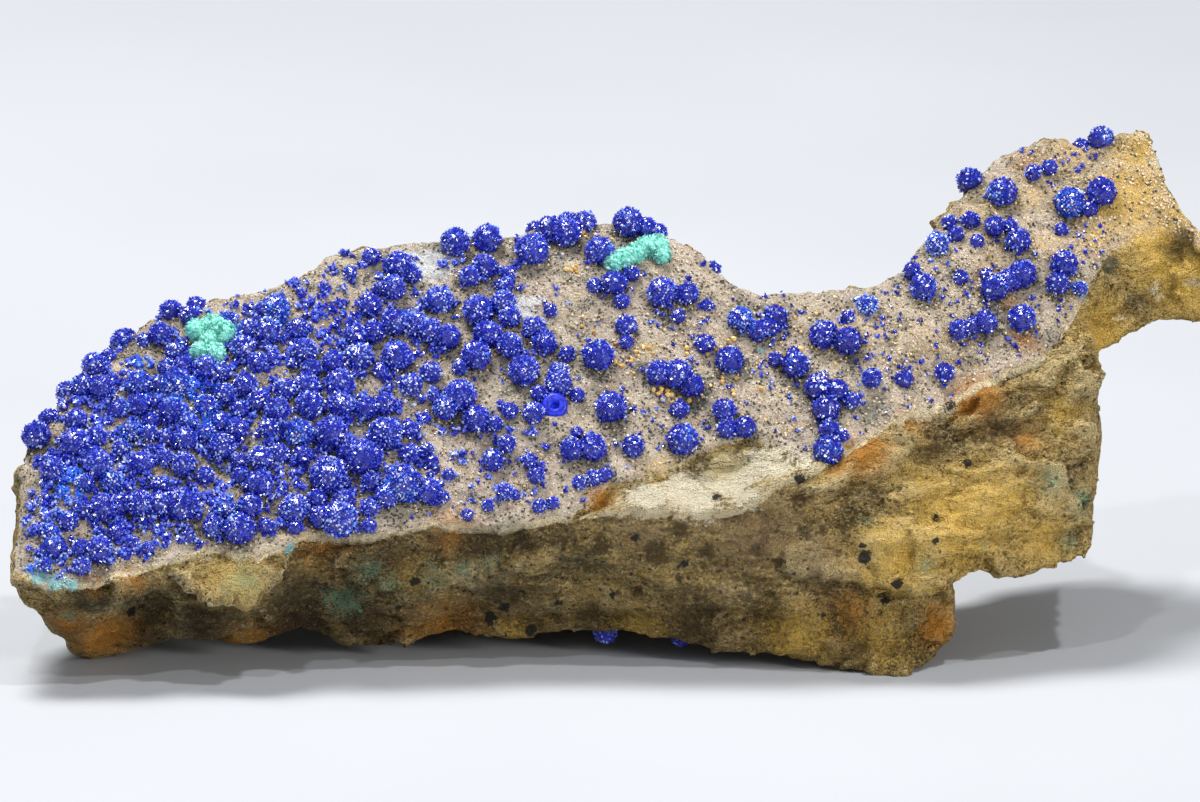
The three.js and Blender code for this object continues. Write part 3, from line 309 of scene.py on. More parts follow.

# Stains of the rock, with painted shade among them, (across, up, radius, strength)
STAINS = {
    "rust": [
        (5.0, 2.4, 2.0, 1.0), (3.1, 3.3, 1.4, 0.8), (7.2, 6.4, 1.0, 0.7), (5.0, 5.8, 0.8, 0.6),
        (52.8, 14.2, 1.4, 1.0), (51.2, 13.2, 1.0, 0.8), (59.7, 17.4, 1.5, 1.0), (62.9, 21.0, 1.0, 0.7),
        (61.9, 23.6, 0.8, 0.5), (22.5, 1.8, 1.3, 0.8), (13.7, 2.4, 2.0, 0.6), (26.2, 3.3, 2.4, 0.6),
        (57.2, 3.3, 1.3, 0.8), (51.9, 4.2, 1.5, 0.6), (67.2, 9.9, 1.0, 0.9), (36.2, 11.1, 0.9, 0.9),
        (62.8, 14.9, 1.2, 0.6), (19.0, 8.4, 1.6, 0.6), (27.0, 9.2, 1.5, 0.7), (55.5, 15.8, 1.2, 0.6),
        (60.5, 25.0, 1.0, 0.5), (63.0, 32.3, 1.0, 0.5),
    ],
    "gold": [
        (69.4, 29.9, 2.6, 1.0), (71.6, 26.7, 2.4, 1.0), (73.1, 24.9, 2.4, 1.0), (67.5, 21.7, 2.2, 0.9),
        (70.4, 33.0, 2.0, 0.9), (58.7, 9.9, 3.4, 0.9), (55.0, 7.4, 2.6, 0.9), (61.2, 11.1, 2.6, 0.8),
        (63.7, 8.6, 2.2, 0.7), (53.7, 2.4, 2.4, 0.6), (13.7, 6.1, 1.8, 0.8), (48.7, 2.4, 2.4, 0.7),
        (38.7, 3.0, 2.0, 0.6), (65.0, 16.5, 1.4, 0.7), (56.5, 12.0, 2.2, 0.6), (66.0, 33.0, 2.0, 0.6),
        (24.0, 6.9, 1.5, 0.5), (31.0, 3.0, 2.0, 0.5), (63.6, 30.2, 1.6, 0.55), (64.2, 27.2, 1.6, 0.5),
        (67.4, 27.6, 1.6, 0.7), (61.0, 26.4, 1.4, 0.45), (72.4, 29.4, 1.6, 0.8), (57.0, 21.0, 3.0, 0.4),
        (52.5, 21.5, 2.5, 0.35), (60.0, 29.0, 2.5, 0.45), (64.5, 32.3, 2.0, 0.5), (40.0, 12.9, 1.4, 0.6),
    ],
    "cream": [
        (39.2, 11.5, 1.4, 1.0), (41.6, 11.8, 1.7, 1.0), (44.2, 12.4, 1.9, 1.0), (46.8, 13.4, 1.6, 1.0),
        (49.0, 13.4, 0.9, 0.8), (42.6, 10.9, 1.2, 1.0), (45.4, 11.4, 1.0, 0.9),
        (37.6, 11.0, 0.8, 0.6), (2.6, 7.4, 1.2, 0.6), (11.5, 8.3, 1.2, 0.6), (8.0, 7.2, 1.4, 0.6),
        (71.4, 32.4, 0.9, 0.7), (73.4, 29.4, 0.9, 0.8), (13.9, 7.8, 1.0, 0.6), (5.9, 7.2, 0.9, 0.5),
        (73.6, 24.8, 0.8, 0.6), (71.2, 24.2, 0.9, 0.55), (69.0, 22.4, 0.8, 0.5), (70.4, 34.0, 0.7, 0.6),
    ],
    "lemon": [(43.9, 13.3, 1.3, 0.9), (39.4, 20.6, 0.9, 0.6), (50.0, 12.6, 0.8, 0.6)],
    "mauve": [
        (38.7, 9.2, 2.0, 0.8), (46.2, 9.2, 2.8, 0.9), (50.0, 7.4, 2.4, 0.7), (42.5, 9.6, 1.6, 0.7),
    ],
    # olive-brown stain, with painted shade in the undercut under the left brow
    "olive_and_shade": [
        (4.6, 4.8, 1.7, 1.0), (7.6, 4.7, 1.9, 1.0), (11.2, 3.7, 1.8, 0.9), (17.5, 4.9, 3.2, 0.9),
        (30.0, 5.5, 3.0, 0.8), (20.6, 6.1, 2.0, 0.7), (35.0, 7.4, 2.0, 0.7), (3.5, 4.2, 1.6, 0.7),
        (25.0, 5.2, 2.4, 0.6), (42.0, 5.0, 3.0, 0.5), (61.5, 15.9, 2.0, 0.5), (46.0, 5.0, 2.0, 0.5),
        (52.5, 3.0, 1.8, 0.5),
    ],
    # brown spots, with painted shade under the growth face's lip and in hollows
    "brown_and_shade": [
        (45.6, 6.1, 1.5, 0.6), (52.5, 1.7, 1.1, 0.7), (28.7, 8.3, 1.6, 0.9), (31.5, 8.6, 1.2, 0.8),
        (34.0, 8.9, 1.1, 0.7), (57.5, 14.6, 1.4, 0.6), (60.8, 16.0, 1.6, 0.7), (66.0, 17.6, 1.2, 0.5),
        (26.0, 8.7, 1.2, 0.8), (48.7, 11.1, 1.1, 0.6), (63.7, 16.7, 1.3, 0.6), (72.5, 26.9, 1.0, 0.9),
        (20.0, 7.4, 1.3, 0.7), (23.2, 7.5, 1.5, 0.8), (9.0, 4.0, 1.2, 0.6), (13.4, 3.9, 1.0, 0.7),
        (53.6, 12.3, 0.8, 0.5), (21.5, 8.0, 1.0, 0.6),
    ],
    "spots": [
        (39.75, 7.75, 0.85, 1.0), (41.1, 9.1, 0.75, 0.9), (43.0, 7.9, 0.65, 0.9), (36.2, 8.3, 0.75, 0.9),
        (49.0, 9.2, 0.6, 0.9), (50.1, 9.2, 0.4, 0.9), (51.4, 9.4, 0.5, 0.9), (38.7, 5.5, 0.6, 0.8),
        (43.2, 4.2, 0.6, 0.8), (46.0, 8.0, 0.5, 0.8), (47.2, 7.2, 0.55, 0.8), (41.3, 6.4, 0.5, 0.7),
        (53.4, 11.6, 0.6, 0.8), (48.6, 11.3, 0.9, 0.8), (52.0, 12.0, 0.5, 0.7), (34.6, 8.6, 0.5, 0.7),
    ],
    # painted shade: a dark band along the bottom of the front face
    "painted_low_shade": [
        (3.2, 3.0, 2.0, 0.9), (7.5, 2.8, 2.4, 0.9), (12.0, 2.8, 2.4, 1.0), (17.0, 3.2, 2.6, 1.0),
        (22.0, 3.6, 2.6, 1.0), (27.0, 3.6, 2.6, 0.9), (32.0, 3.4, 2.6, 0.9), (37.0, 3.4, 2.6, 0.9),
        (42.0, 3.2, 2.4, 0.9), (47.0, 2.8, 2.4, 0.9), (51.5, 2.6, 2.2, 0.8), (56.0, 2.6, 2.0, 0.8),
    ],
    "green": [
        (14.1, 6.1, 0.9, 0.9), (3.2, 3.9, 0.5, 0.8), (21.8, 6.7, 0.8, 0.8), (20.3, 4.8, 1.1, 0.9),
        (23.1, 5.7, 0.8, 0.7), (56.6, 7.1, 0.6, 0.7), (64.4, 12.4, 0.7, 0.8), (66.6, 11.0, 0.8, 0.9),
        (25.9, 6.4, 0.8, 0.6), (27.8, 6.8, 0.6, 0.7), (29.4, 7.2, 0.5, 0.7), (13.0, 5.6, 0.5, 0.7),
        (65.6, 8.6, 0.6, 0.7), (60.2, 8.4, 0.4, 0.6), (52.9, 9.9, 0.5, 0.6),
    ],
    "teal": [
        (68.2, 25.8, 0.8, 0.7), (70.0, 23.6, 1.2, 0.5), (35.2, 21.6, 1.0, 0.6), (27.2, 16.0, 0.8, 0.6),
        (38.9, 19.4, 0.8, 0.7), (42.4, 17.4, 1.0, 0.6), (30.3, 17.9, 0.7, 0.7), (33.0, 14.6, 0.9, 0.6),
        (52.0, 20.0, 0.7, 0.6), (36.8, 17.6, 0.6, 0.6), (28.0, 11.2, 1.0, 0.6), (53.4, 16.9, 1.4, 0.7),
        (12.3, 13.2, 0.8, 0.7), (46.0, 14.9, 0.6, 0.5), (57.4, 22.6, 0.8, 0.5), (49.2, 17.2, 0.8, 0.6),
    ],
    "white": [
        (24.2, 26.0, 1.0, 1.0), (25.6, 25.8, 1.2, 1.0), (26.6, 25.9, 0.8, 0.9), (31.5, 23.2, 0.9, 0.9),
        (32.2, 23.6, 0.6, 0.8), (12.6, 22.6, 0.6, 0.6), (0.9, 9.5, 0.6, 0.8),
    ],
    "cyan": [
        (10.6, 8.8, 0.45, 1.0), (16.9, 8.2, 0.4, 1.0), (1.4, 6.4, 0.6, 1.0), (2.4, 6.1, 0.6, 1.0),
        (3.4, 5.9, 0.45, 0.9), (46.3, 20.5, 0.3, 0.7), (66.6, 24.0, 0.4, 0.7),
    ],
    "black": [
        (52.75, 7.56, 0.45, 1.0), (52.6, 8.3, 0.22, 1.0), (54.75, 5.9, 0.4, 1.0), (57.2, 10.0, 0.28, 1.0),
        (57.2, 8.6, 0.26, 1.0), (59.2, 13.4, 0.28, 1.0), (24.7, 6.0, 0.35, 0.9), (30.3, 4.4, 0.4, 1.0),
        (29.4, 3.75, 0.45, 1.0), (31.9, 3.0, 0.38, 1.0), (33.7, 4.7, 0.26, 1.0), (38.4, 8.8, 0.32, 1.0),
        (41.6, 7.2, 0.28, 1.0), (23.7, 4.4, 0.3, 0.9), (7.1, 4.1, 0.4, 0.9), (58.1, 16.9, 0.45, 0.9),
        (48.7, 12.4, 0.5, 0.9), (54.0, 4.9, 0.35, 1.0), (43.5, 11.3, 0.4, 0.8), (50.2, 4.0, 0.25, 0.9),
        (37.0, 5.2, 0.28, 0.9), (45.2, 3.6, 0.25, 0.8), (36.0, 2.9, 0.25, 0.8), (31.4, 5.4, 0.25, 0.8),
    ],
}

# The way the front view looks, and the way the growth face faces
SIGHT = np.array([0.0, math.cos(LOOK_DOWN), -math.sin(LOOK_DOWN)])
GROWTH_NORMAL = np.array([0.0, -math.sin(GROWTH_DIP), math.cos(GROWTH_DIP)])


def seen(across, up, back=0.0):
    """A point of the front view, back along the table, in the row frame in millimetres."""
    height = (up - back * math.sin(LOOK_DOWN)) / math.cos(LOOK_DOWN)
    return np.array([across - ACROSS_MIDDLE, back - BACK_MIDDLE, height])


def across_and_up(points):
    """Where points of the row frame appear in the front view."""
    up = points[:, 2] * math.cos(LOOK_DOWN) + (points[:, 1] + BACK_MIDDLE) * math.sin(LOOK_DOWN)
    return points[:, 0] + ACROSS_MIDDLE, up


def ragged(across, up):
    """Up with a little disorder, so that what follows a line across the front is ragged."""
    wide, high, narrow = RAGGED_SIZES
    return up + RAGGED * np.array([
        noise.noise(Vector((a / wide, u / high, 0))) + 0.5 * noise.noise(Vector((a / narrow, u, 5)))
        for a, u in zip(across, up)
    ])


def smooth_step(values, low, high):
    """0 up to low, 1 from high, and smooth between them."""
    share = np.clip((values - low) / (high - low), 0, 1)
    return share * share * (3 - 2 * share)


def height_on(rows, across):
    """The value of a line, (across, up) rows, at any place across."""
    return np.interp(across, [row[0] for row in rows], [row[1] for row in rows])


def vertices_of(mesh):
    """A mesh's vertices, in millimetres."""
    found = np.empty(len(mesh.vertices) * 3, np.float32)
    mesh.vertices.foreach_get("co", found)
    return found.reshape(-1, 3).astype(float) / MM


def normals_of(mesh):
    found = np.empty(len(mesh.vertices) * 3, np.float32)
    mesh.vertex_normals.foreach_get("vector", found)
    return found.reshape(-1, 3).astype(float)


def tree_of(mesh):
    """What rays are cast at: a mesh, in millimetres."""
    return BVHTree.FromPolygons(vertices_of(mesh).tolist(), [list(face.vertices) for face in mesh.polygons])


def hit_from_front(tree, across, up):
    """Where the line of sight through a point of the front view meets the rock: the place and its normal."""
    start = seen(across, up) - SIGHT_START * SIGHT
    place, normal, _, _ = tree.ray_cast(Vector(start), Vector(SIGHT))
    if place is None:
        return None
    return np.array(place), np.array(normal)


def seat(tree, across, up, radius):
    """The middle of a ball that covers a place in the front view, and the way out of the rock there."""
    hit = hit_from_front(tree, across, up)
    if hit:
        place, normal = hit
        return place + normal * BALL_SEAT * radius, normal
    spots = [Vector(seen(across, up, back)) for back in range(ROCK_DEPTH)]
    nearest = [tree.find_nearest(spot) for spot in spots]
    closest = min(range(ROCK_DEPTH), key=lambda back: nearest[back][3])
    place, normal, gap, _ = nearest[closest]
    share = min(1, CREST_SEAT * radius / gap)
    return np.array(place.lerp(spots[closest], share)), np.array(normal)


# The rock's shape


def even_rock():
    """The CAD rock as one even, fine mesh."""
    plain = bpy.data.objects.new("plain_rock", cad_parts["matrix"].data.copy())
    bpy.context.scene.collection.objects.link(plain)
    even = plain.modifiers.new("even", "REMESH")
    even.mode = "VOXEL"
    even.voxel_size = ROCK_CELL * MM
    soften = plain.modifiers.new("soften", "SMOOTH")
    soften.iterations = SOFTENINGS
    mesh = bpy.data.meshes.new_from_object(plain.evaluated_get(bpy.context.evaluated_depsgraph_get()))
    bpy.data.objects.remove(plain)
    mesh.name = "rock"
    mesh.materials.clear()
    return mesh


def lumps(point, size):
    """Lumps of one size with finer ones on them, from about -1 to 1."""
    return noise.fractal(point / size, 0.9, 2.0, 3)


def chips(point, size):
    """Flat chips with sharp edges: the distance of a point from the tilted plane of its own cell."""
    _, centres = noise.voronoi(point / size)
    tilt = noise.cell_vector(centres[0] * CHIP_JUMP) - Vector((0.5, 0.5, 0.5))
    return size * tilt.dot(point / size - centres[0])


def beds(point, thickness):
    """Beds that lie nearly level: each stands out most near its top edge, between 0 and 1."""
    wander, length = BED_WANDER
    level = (point.z - BED_SLOPE * point.x) / thickness + wander * noise.noise(point / (length * thickness))
    share = level - math.floor(level)
    lip, fall = BED_LIP
    return share * share if share < lip else fall * (1 - share)


def broken_relief(point, upright):
    """How far broken rock stands out at a point. Its beds show only on the front and the back, in full where
    upright is 1, so that the outline has no teeth."""
    bent = point + BEND[0] * noise.noise_vector(point / BEND[1])
    bedded = Vector((bent.x / CHIP_STRETCH[0], bent.y / CHIP_STRETCH[1], bent.z))
    rough = LUMPS[0] * lumps(point, LUMPS[1]) + GRIT[0] * noise.noise(point / GRIT[1])
    flakes = WIDE_CHIPS[0] * chips(bedded, WIDE_CHIPS[1]) + NARROW_CHIPS[0] * chips(bedded, NARROW_CHIPS[1])
    out, more_out, size = FACE_CHIPS
    flakes += upright * (out + more_out * float(smooth_step(point.x, *BLOCK))) * chips(bedded, size)
    patch_size, spread = BED_PATCHES
    shown = upright * max(0.0, noise.noise(point / patch_size + Vector((9, 9, 9))) + spread)
    middle, reach, flatter = CALM
    calm = 1 - flatter * math.exp(-((point.x - middle) / reach) ** 2)
    height, thickness, average = BEDS
    bedding = height * shown * (beds(bent, thickness) - average)
    return calm * (rough + (0.5 + 0.5 * upright) * flakes + bedding)


def sandy_relief(point):
    """How far the sandy growth face stands out at a point."""
    height = DUNES[0] * lumps(point, DUNES[1])
    for out, size in RIPPLES:
        height += out * noise.noise(point / size)
    return height


def ledge_push(line, above, below, reach, across, up):
    """How far a ledge moves rock out, or in where it is negative."""
    first, last = line[0][0], line[-1][0]
    offset = up - height_on(line, across)
    beyond, within = LEDGE_ENDS
    starts = smooth_step(across, first - beyond, first + within)
    ends = starts * (1 - smooth_step(across, last - within, last + beyond))
    side = np.where(offset > 0, above, -below)
    return side * np.exp(-np.abs(offset) / reach) * np.minimum(1, np.abs(offset) / LEDGE_STEP) * ends


def growth_share(points, normals):
    """1 on the growth face, 0 on broken rock."""
    across, up = across_and_up(points)
    up = ragged(across, up)
    softness = EDGE_SOFTNESS[0] + EDGE_SOFTNESS[1] * smooth_step(across, *TAIL)
    above = smooth_step((up - height_on(GROWTH_EDGE, across)) / softness, -1, 1)
    return above * smooth_step(normals @ GROWTH_NORMAL, *GROWTH_TURN)


def blobs(points, tree, rows):
    """A field that is a row's strength at its middle and falls to half of it at its radius."""
    field = np.zeros(len(points))
    for across, up, radius, strength in rows:
        hit = hit_from_front(tree, across, up)
        if hit:
            distance = np.linalg.norm(points - hit[0], axis=1)
            field = np.maximum(field, strength * (1 - distance / (2 * radius)))
    return field


def roughen(mesh):
    """Gives the even rock its relief and its attributes. Returns what rays are cast at."""
    points = vertices_of(mesh)
    normals = normals_of(mesh)
    across, up = across_and_up(points)
    ragged_up = ragged(across, up)
    growth = growth_share(points, normals)
    facing = smooth_step(-normals @ SIGHT, *FACING)
    push = relief(points, normals, growth)
    add_swells(push, points, tree_of(mesh))
    for line, above, below, reach in LEDGES:
        push += facing * ledge_push(line, above, below, reach, across, ragged_up)
    push = evened(mesh, push)
    moved = points + normals * push[:, None]
    moved[:, 2] = np.maximum(moved[:, 2], 0.0)
    mesh.vertices.foreach_set("co", (moved * MM).ravel())
    mesh.update()
    tree = tree_of(mesh)
    keep(mesh, "growth", growth)
    # the material paints highlights on ridges and shade in hollows from this
    keep(mesh, "relief", np.clip(push / RELIEF_RANGE, -1, 1))
    for name, rows in STAINS.items():
        keep(mesh, name, blobs(moved, tree, rows))
    # dark dust with painted shadow round the balls
    keep(mesh, "dust_and_shade", growth * dust_and_shade(across, up))
    # painted highlight along the front rim and the wedge's lower edge
    painted_edge_highlights = np.maximum(painted_edge_highlight(FRONT_RIM, across, ragged_up), painted_edge_highlight(WEDGE, across, ragged_up))
    keep(mesh, "painted_edge_highlight", facing * painted_edge_highlights)
    return tree


def relief(points, normals, growth):
    """How far each point stands out, before its swells and ledges."""
    upright = smooth_step(np.abs(normals @ SIGHT), *FACING)
    broken = np.array([broken_relief(Vector(point), share) for point, share in zip(points, upright)])
    sandy = np.array([sandy_relief(Vector(point)) for point in points])
    return broken * (1 - growth) + sandy * growth


def add_swells(push, points, tree):
    """Adds the hollows and swellings to how far each point is pushed out."""
    for across, up, radius, out in SWELLS:
        hit = hit_from_front(tree, across, up)
        if hit:
            distance = np.linalg.norm(points - hit[0], axis=1)
            push += out * np.exp(-((distance / radius) ** 2))


def painted_edge_highlight(line, across, up):
    """The painted highlight along an edge: 1 along a line in the front view, 0 a little way off it and
    beyond its ends.
    """
    inside = (across > line[0][0]) & (across < line[-1][0])
    return inside * np.exp(-(((up - height_on(line, across)) / EDGE_HIGHLIGHT_REACH) ** 2))


def dust_and_shade(across, up):
    """Dark dust and painted shadow on the rock round each ball, reaching farther below it: 1 at the ball, 0
    a little way out.
    """
    field = np.zeros(len(across))
    for ball_across, ball_up, radius in BALLS:
        # the middle is moved down, so that the painted shadow falls below each ball
        distance = np.hypot(across - ball_across, up - ball_up + 0.3 * radius)
        field = np.maximum(field, 1 - (distance - radius) / DUST_AND_SHADE_REACH)
    return np.clip(field, 0, 1)


def evened(mesh, values):
    """Moves each vertex's value part of the way to the average of its neighbours'."""
    ends = np.empty(2 * len(mesh.edges), int)
    mesh.edges.foreach_get("vertices", ends)
    one, other = ends.reshape(-1, 2).T
    count = len(values)
    total = np.bincount(one, values[other], count) + np.bincount(other, values[one], count)
    around = total / np.maximum(1, np.bincount(ends, minlength=count))
    return (1 - EVENING) * values + EVENING * around


def keep(mesh, name, values):
    """Stores one number for each vertex under a name that a material can read."""
    mesh.attributes.new(name, "FLOAT", "POINT").data.foreach_set("value", np.asarray(values, np.float32))


# Crystals

POINTED = np.array([(1, 0, 0), (-1, 0, 0), (0, 1, 0), (0, -1, 0), (0, 0, 1), (0, 0, -1)], float)
POINTED_FACES = np.array([
    (0, 2, 4), (2, 1, 4), (1, 3, 4), (3, 0, 4), (2, 0, 5), (1, 2, 5), (3, 1, 5), (0, 3, 5),
])


def round_shape(subdivisions):
    """The corners and faces of a unit ball."""
    shape = bmesh.new()
    bmesh.ops.create_icosphere(shape, subdivisions=subdivisions, radius=1)
    corners = np.array([vertex.co for vertex in shape.verts], float)
    faces = np.array([[vertex.index for vertex in face.verts] for face in shape.faces])
    shape.free()
    return corners, faces


CORE = round_shape(3)
BUMP = round_shape(2)
PEBBLE = round_shape(1)


class Heap:
    """Many small closed shapes that become one mesh, each with its own tone and paleness."""

    def __init__(self):
        self.corners = []
        self.faces = []
        self.tones = []
        self.pales = []
        self.count = 0

    def add(self, corners, faces, tone, pale):
        """Adds one shape, or as many as there are rows of corners."""
        each = corners.shape[-2]
        rows = corners.reshape(-1, each, 3)
        tones = np.broadcast_to(tone, len(rows))
        pales = np.broadcast_to(pale, len(rows))
        for row, row_tone, row_pale in zip(rows, tones, pales):
            self.corners.append(row)
            self.faces.append(faces + self.count)
            self.tones.append(np.full(each, row_tone))
            self.pales.append(np.full(each, row_pale))
            self.count += each

    def piece(self, name, material, slot, smooth=False):
        mesh = bpy.data.meshes.new(name)
        corners = np.concatenate(self.corners) * MM
        mesh.from_pydata(corners.tolist(), [], np.concatenate(self.faces).tolist())
        keep(mesh, "tone", np.concatenate(self.tones))
        keep(mesh, "pale", np.concatenate(self.pales))
        mesh.polygons.foreach_set("use_smooth", [smooth] * len(mesh.polygons))
        return add_piece(name, mesh, material)


def add_piece(name, mesh, material):
    piece = bpy.data.objects.new(name, mesh)
    bpy.context.scene.collection.objects.link(piece)
    mesh.materials.append(material)
    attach(piece, "root")
    return piece


def directions(count, chance):
    """Evenly spread directions with a little disorder."""
    steps = np.arange(count) + 0.5
    height = 1 - 2 * steps / count
    turn = math.pi * (1 + math.sqrt(5)) * steps
    ring = np.sqrt(1 - height**2)
    spread = np.stack([ring * np.cos(turn), ring * np.sin(turn), height], axis=1)
    spread += chance.normal(0, 0.6 / math.sqrt(count), spread.shape)
    return unit(spread)


def unit(vectors):
    return vectors / np.linalg.norm(vectors, axis=-1, keepdims=True)


def standing(ways, middles, half_sizes, tilt, chance):
    """Pointed crystals with their length along each way, leaning and turned at random."""
    along = unit(ways + tilt * chance.uniform(-1, 1, ways.shape))
    side = unit(np.cross(along, chance.normal(size=ways.shape)))
    third = np.cross(along, side)
    axes = np.stack([along, side, third], axis=1) * half_sizes[:, :, None]
    return middles[:, None, :] + POINTED[None, :, :] @ axes


def pale_at(places):
    """How pale the crystals are at each of some places."""
    across, up = across_and_up(places)
    pale = np.zeros(len(places))
    for middle_across, middle_up, radius, strength in PALE_CRYSTALS:
        distance = np.hypot(across - middle_across, up - middle_up)
        pale = np.maximum(pale, 1.5 * strength * (1 - distance / (1.2 * radius)))
    clouds = np.array([noise.noise(Vector(place / 0.45)) for place in places])
    return np.clip(pale * (1 + 1.6 * clouds), 0, 1)


def whiteness_and_glints(place, count, chance):
    """How white each of some crystals is, partly white crystals and partly painted glints: a few anywhere,
    more on the right half, and more in hazy patches on the left half.
    """
    size, spread = HAZE
    haze = max(0.0, noise.noise(Vector(place / size)) + spread) * leftness(place)
    anywhere, right, hazy = WHITE_AND_GLINTS
    share = anywhere + right * (1 - leftness(place)) + hazy * haze
    return (chance.random(count) < share) * chance.uniform(0.5, 1, count)


def crystal_ball(heap, middle, radius, outward, chance):
    """A ball of short blades on a lumpy core."""
    corners, faces = CORE
    core = middle + corners * core_reach(corners, middle, radius)[:, None]
    heap.add(core, faces, 0.2, 0)
    ways = directions(int(BLADE_DENSITY * 4 * math.pi * radius**2), chance)
    ways = ways[ways @ outward > BURIED]
    count = len(ways)
    half_sizes = np.array(BLADE) * chance.uniform(*BLADE_SIZES, (count, 1)) * min(1.0, 0.6 + 0.4 * radius)
    middles = middle + ways * core_reach(ways, middle, radius)[:, None]
    # crystals that point out of the rock get painted light, those that point along it painted shade
    tones = np.clip(chance.normal(tone_at(middle), TONE_SPREAD, count) + PAINTED_TOP_LIGHT * (ways @ outward), 0, 1)
    pales = np.maximum(pale_at(middles) * chance.uniform(0.3, 1.2, count), whiteness_and_glints(middle, count, chance))
    heap.add(standing(ways, middles, half_sizes, BLADE_TILT, chance), POINTED_FACES, tones, pales)


def core_reach(ways, middle, radius):
    """How far a ball's lumpy core reaches in each direction."""
    swellings = np.array([noise.noise(Vector(way * 2.6 + middle * 3)) for way in ways])
    return radius * (CORE_SHARE + CORE_LUMPS * swellings)


def tone_at(place):
    """How bright the blue is: brighter to the left, and a little different from ball to ball."""
    bright, left = TONE
    differ, length = TONE_PATCHES
    return bright + left * leftness(place) + differ * noise.noise(Vector(place / length))


def leftness(place):
    """1 on the left half, falling to 0 on the right."""
    return float(smooth_step(place[0], *LEFT_HALF))


def broken_ball(tree):
    """The broken ball: a disc with a rounded rim and a pit, facing outwards."""
    across, up, radius = BROKEN_BALL
    middle, normal = seat(tree, across, up, radius)
    facing = unit(normal * 0.7 - SIGHT)
    side = unit(np.cross(facing, np.array([0.0, 0.0, 1.0])))
    top = np.cross(side, facing)
    count = BROKEN_STEPS
    corners = []
    for share, out in BROKEN_SECTION[1:-1]:
        for step in range(count):
            turn = 2 * math.pi * step / count
            wobble = 1 + 0.05 * noise.noise(Vector((3 * math.cos(turn), 3 * math.sin(turn), 5 * share)))
            sideways = share * wobble * (side * math.cos(turn) + top * math.sin(turn))
            corners.append(middle + radius * (sideways + out * facing))
    corners += [middle + radius * out * facing for _, out in (BROKEN_SECTION[0], BROKEN_SECTION[-1])]
    rings = len(BROKEN_SECTION) - 2
    faces = []
    for step in range(count):
        after = (step + 1) % count
        faces.append([rings * count, step, after])
        faces.append([rings * count + 1, (rings - 1) * count + after, (rings - 1) * count + step])
        for ring in range(rings - 1):
            a, b = ring * count + step, ring * count + after
            faces.append([a, a + count, b + count])
            faces.append([a, b + count, b])
    heap = Heap()
    heap.add(np.array(corners), np.array(faces)[:, ::-1], 0.5, 0)
    return heap.piece("azurite_broken_ball", fresh_azurite(), "azurite", smooth=True)


def azurite_pieces(tree, material):
    """One piece of crystals for each azurite solid, from the balls that lie nearest to it."""
    nodes = {name: node for name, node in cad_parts.items() if name.startswith("azurite")}
    solids = {name: tree_of(node.data) for name, node in nodes.items()}
    heaps = {name: Heap() for name in solids}
    chance = np.random.default_rng(BALL_SEED)
    for across, up, radius in BALLS:
        middle, normal = seat(tree, across, up, radius)
        nearest = min(solids, key=lambda name: solids[name].find_nearest(Vector(middle))[3])
        crystal_ball(heaps[nearest], middle, radius * BALL_SWELL, normal, chance)
    for name, heap in heaps.items():
        if not heap.corners:
            raise ValueError(f"no ball belongs to {name}")
        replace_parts(heap.piece(name + "_crystals", material, "azurite"), name)


def small_azurite(tree, material):
    """The balls, crusts and single crystals that are too small to be solids of their own."""
    chance = np.random.default_rng(SMALL_SEED)
    heap = Heap()
    for across, up, radius in SMALL_BALLS:
        middle, normal = seat(tree, across, up, radius)
        crystal_ball(heap, middle, radius, normal, chance)
    for across, back, height, radius in UNDER_BALLS:
        middle = np.array([across - ACROSS_MIDDLE, back - BACK_MIDDLE, height])
        crystal_ball(heap, middle, radius, UNDER_OUTWARD, chance)
    heap.piece("azurite_small_balls", material, "azurite")

    crust = Heap()
    for across, up, place, normal in growth_places(tree, CRUST_TRIES, CRUST_SPAN, chance):
        if chance.random() < crust_share(across, up) and not under_a_ball(across, up):
            bunch(crust, place, normal, chance.uniform(*CRUST_SIZES), CRUST_CRYSTALS, chance)
    crust.piece("azurite_crust_between_balls", material, "azurite")

    strays = Heap()
    for _, _, place, normal in growth_places(tree, STRAY_TRIES, STRAY_SPAN, chance):
        bunch(strays, place, normal, chance.uniform(*STRAY_SIZES), chance.integers(*STRAY_CRYSTALS), chance)
    strays.piece("azurite_strays", material, "azurite")


def crust_share(across, up):
    """How much of the rock between the balls has a crust: most on the left, least at the rims."""
    crowded = smooth_step(across, 30, 15)
    lower = smooth_step(height_on(CREST, across) - up, 0.2, 3.5)
    inner = smooth_step(up - height_on(GROWTH_EDGE, across), 0.6, 2.2) * smooth_step(across, 0.6, 2.4)
    patchy = smooth_step(noise.noise(Vector((across, up, 0)) / 2.4), -0.5, 0.1)
    return (0.1 + 0.9 * crowded) * (0.3 + 0.7 * lower) * (0.25 + 0.75 * patchy) * (0.15 + 0.85 * inner)


def under_a_ball(across, up):
    """Whether a place in the front view is hidden by a ball."""
    return any(math.hypot(across - row[0], up - row[1]) < 0.75 * row[2] for row in BALLS + SMALL_BALLS)


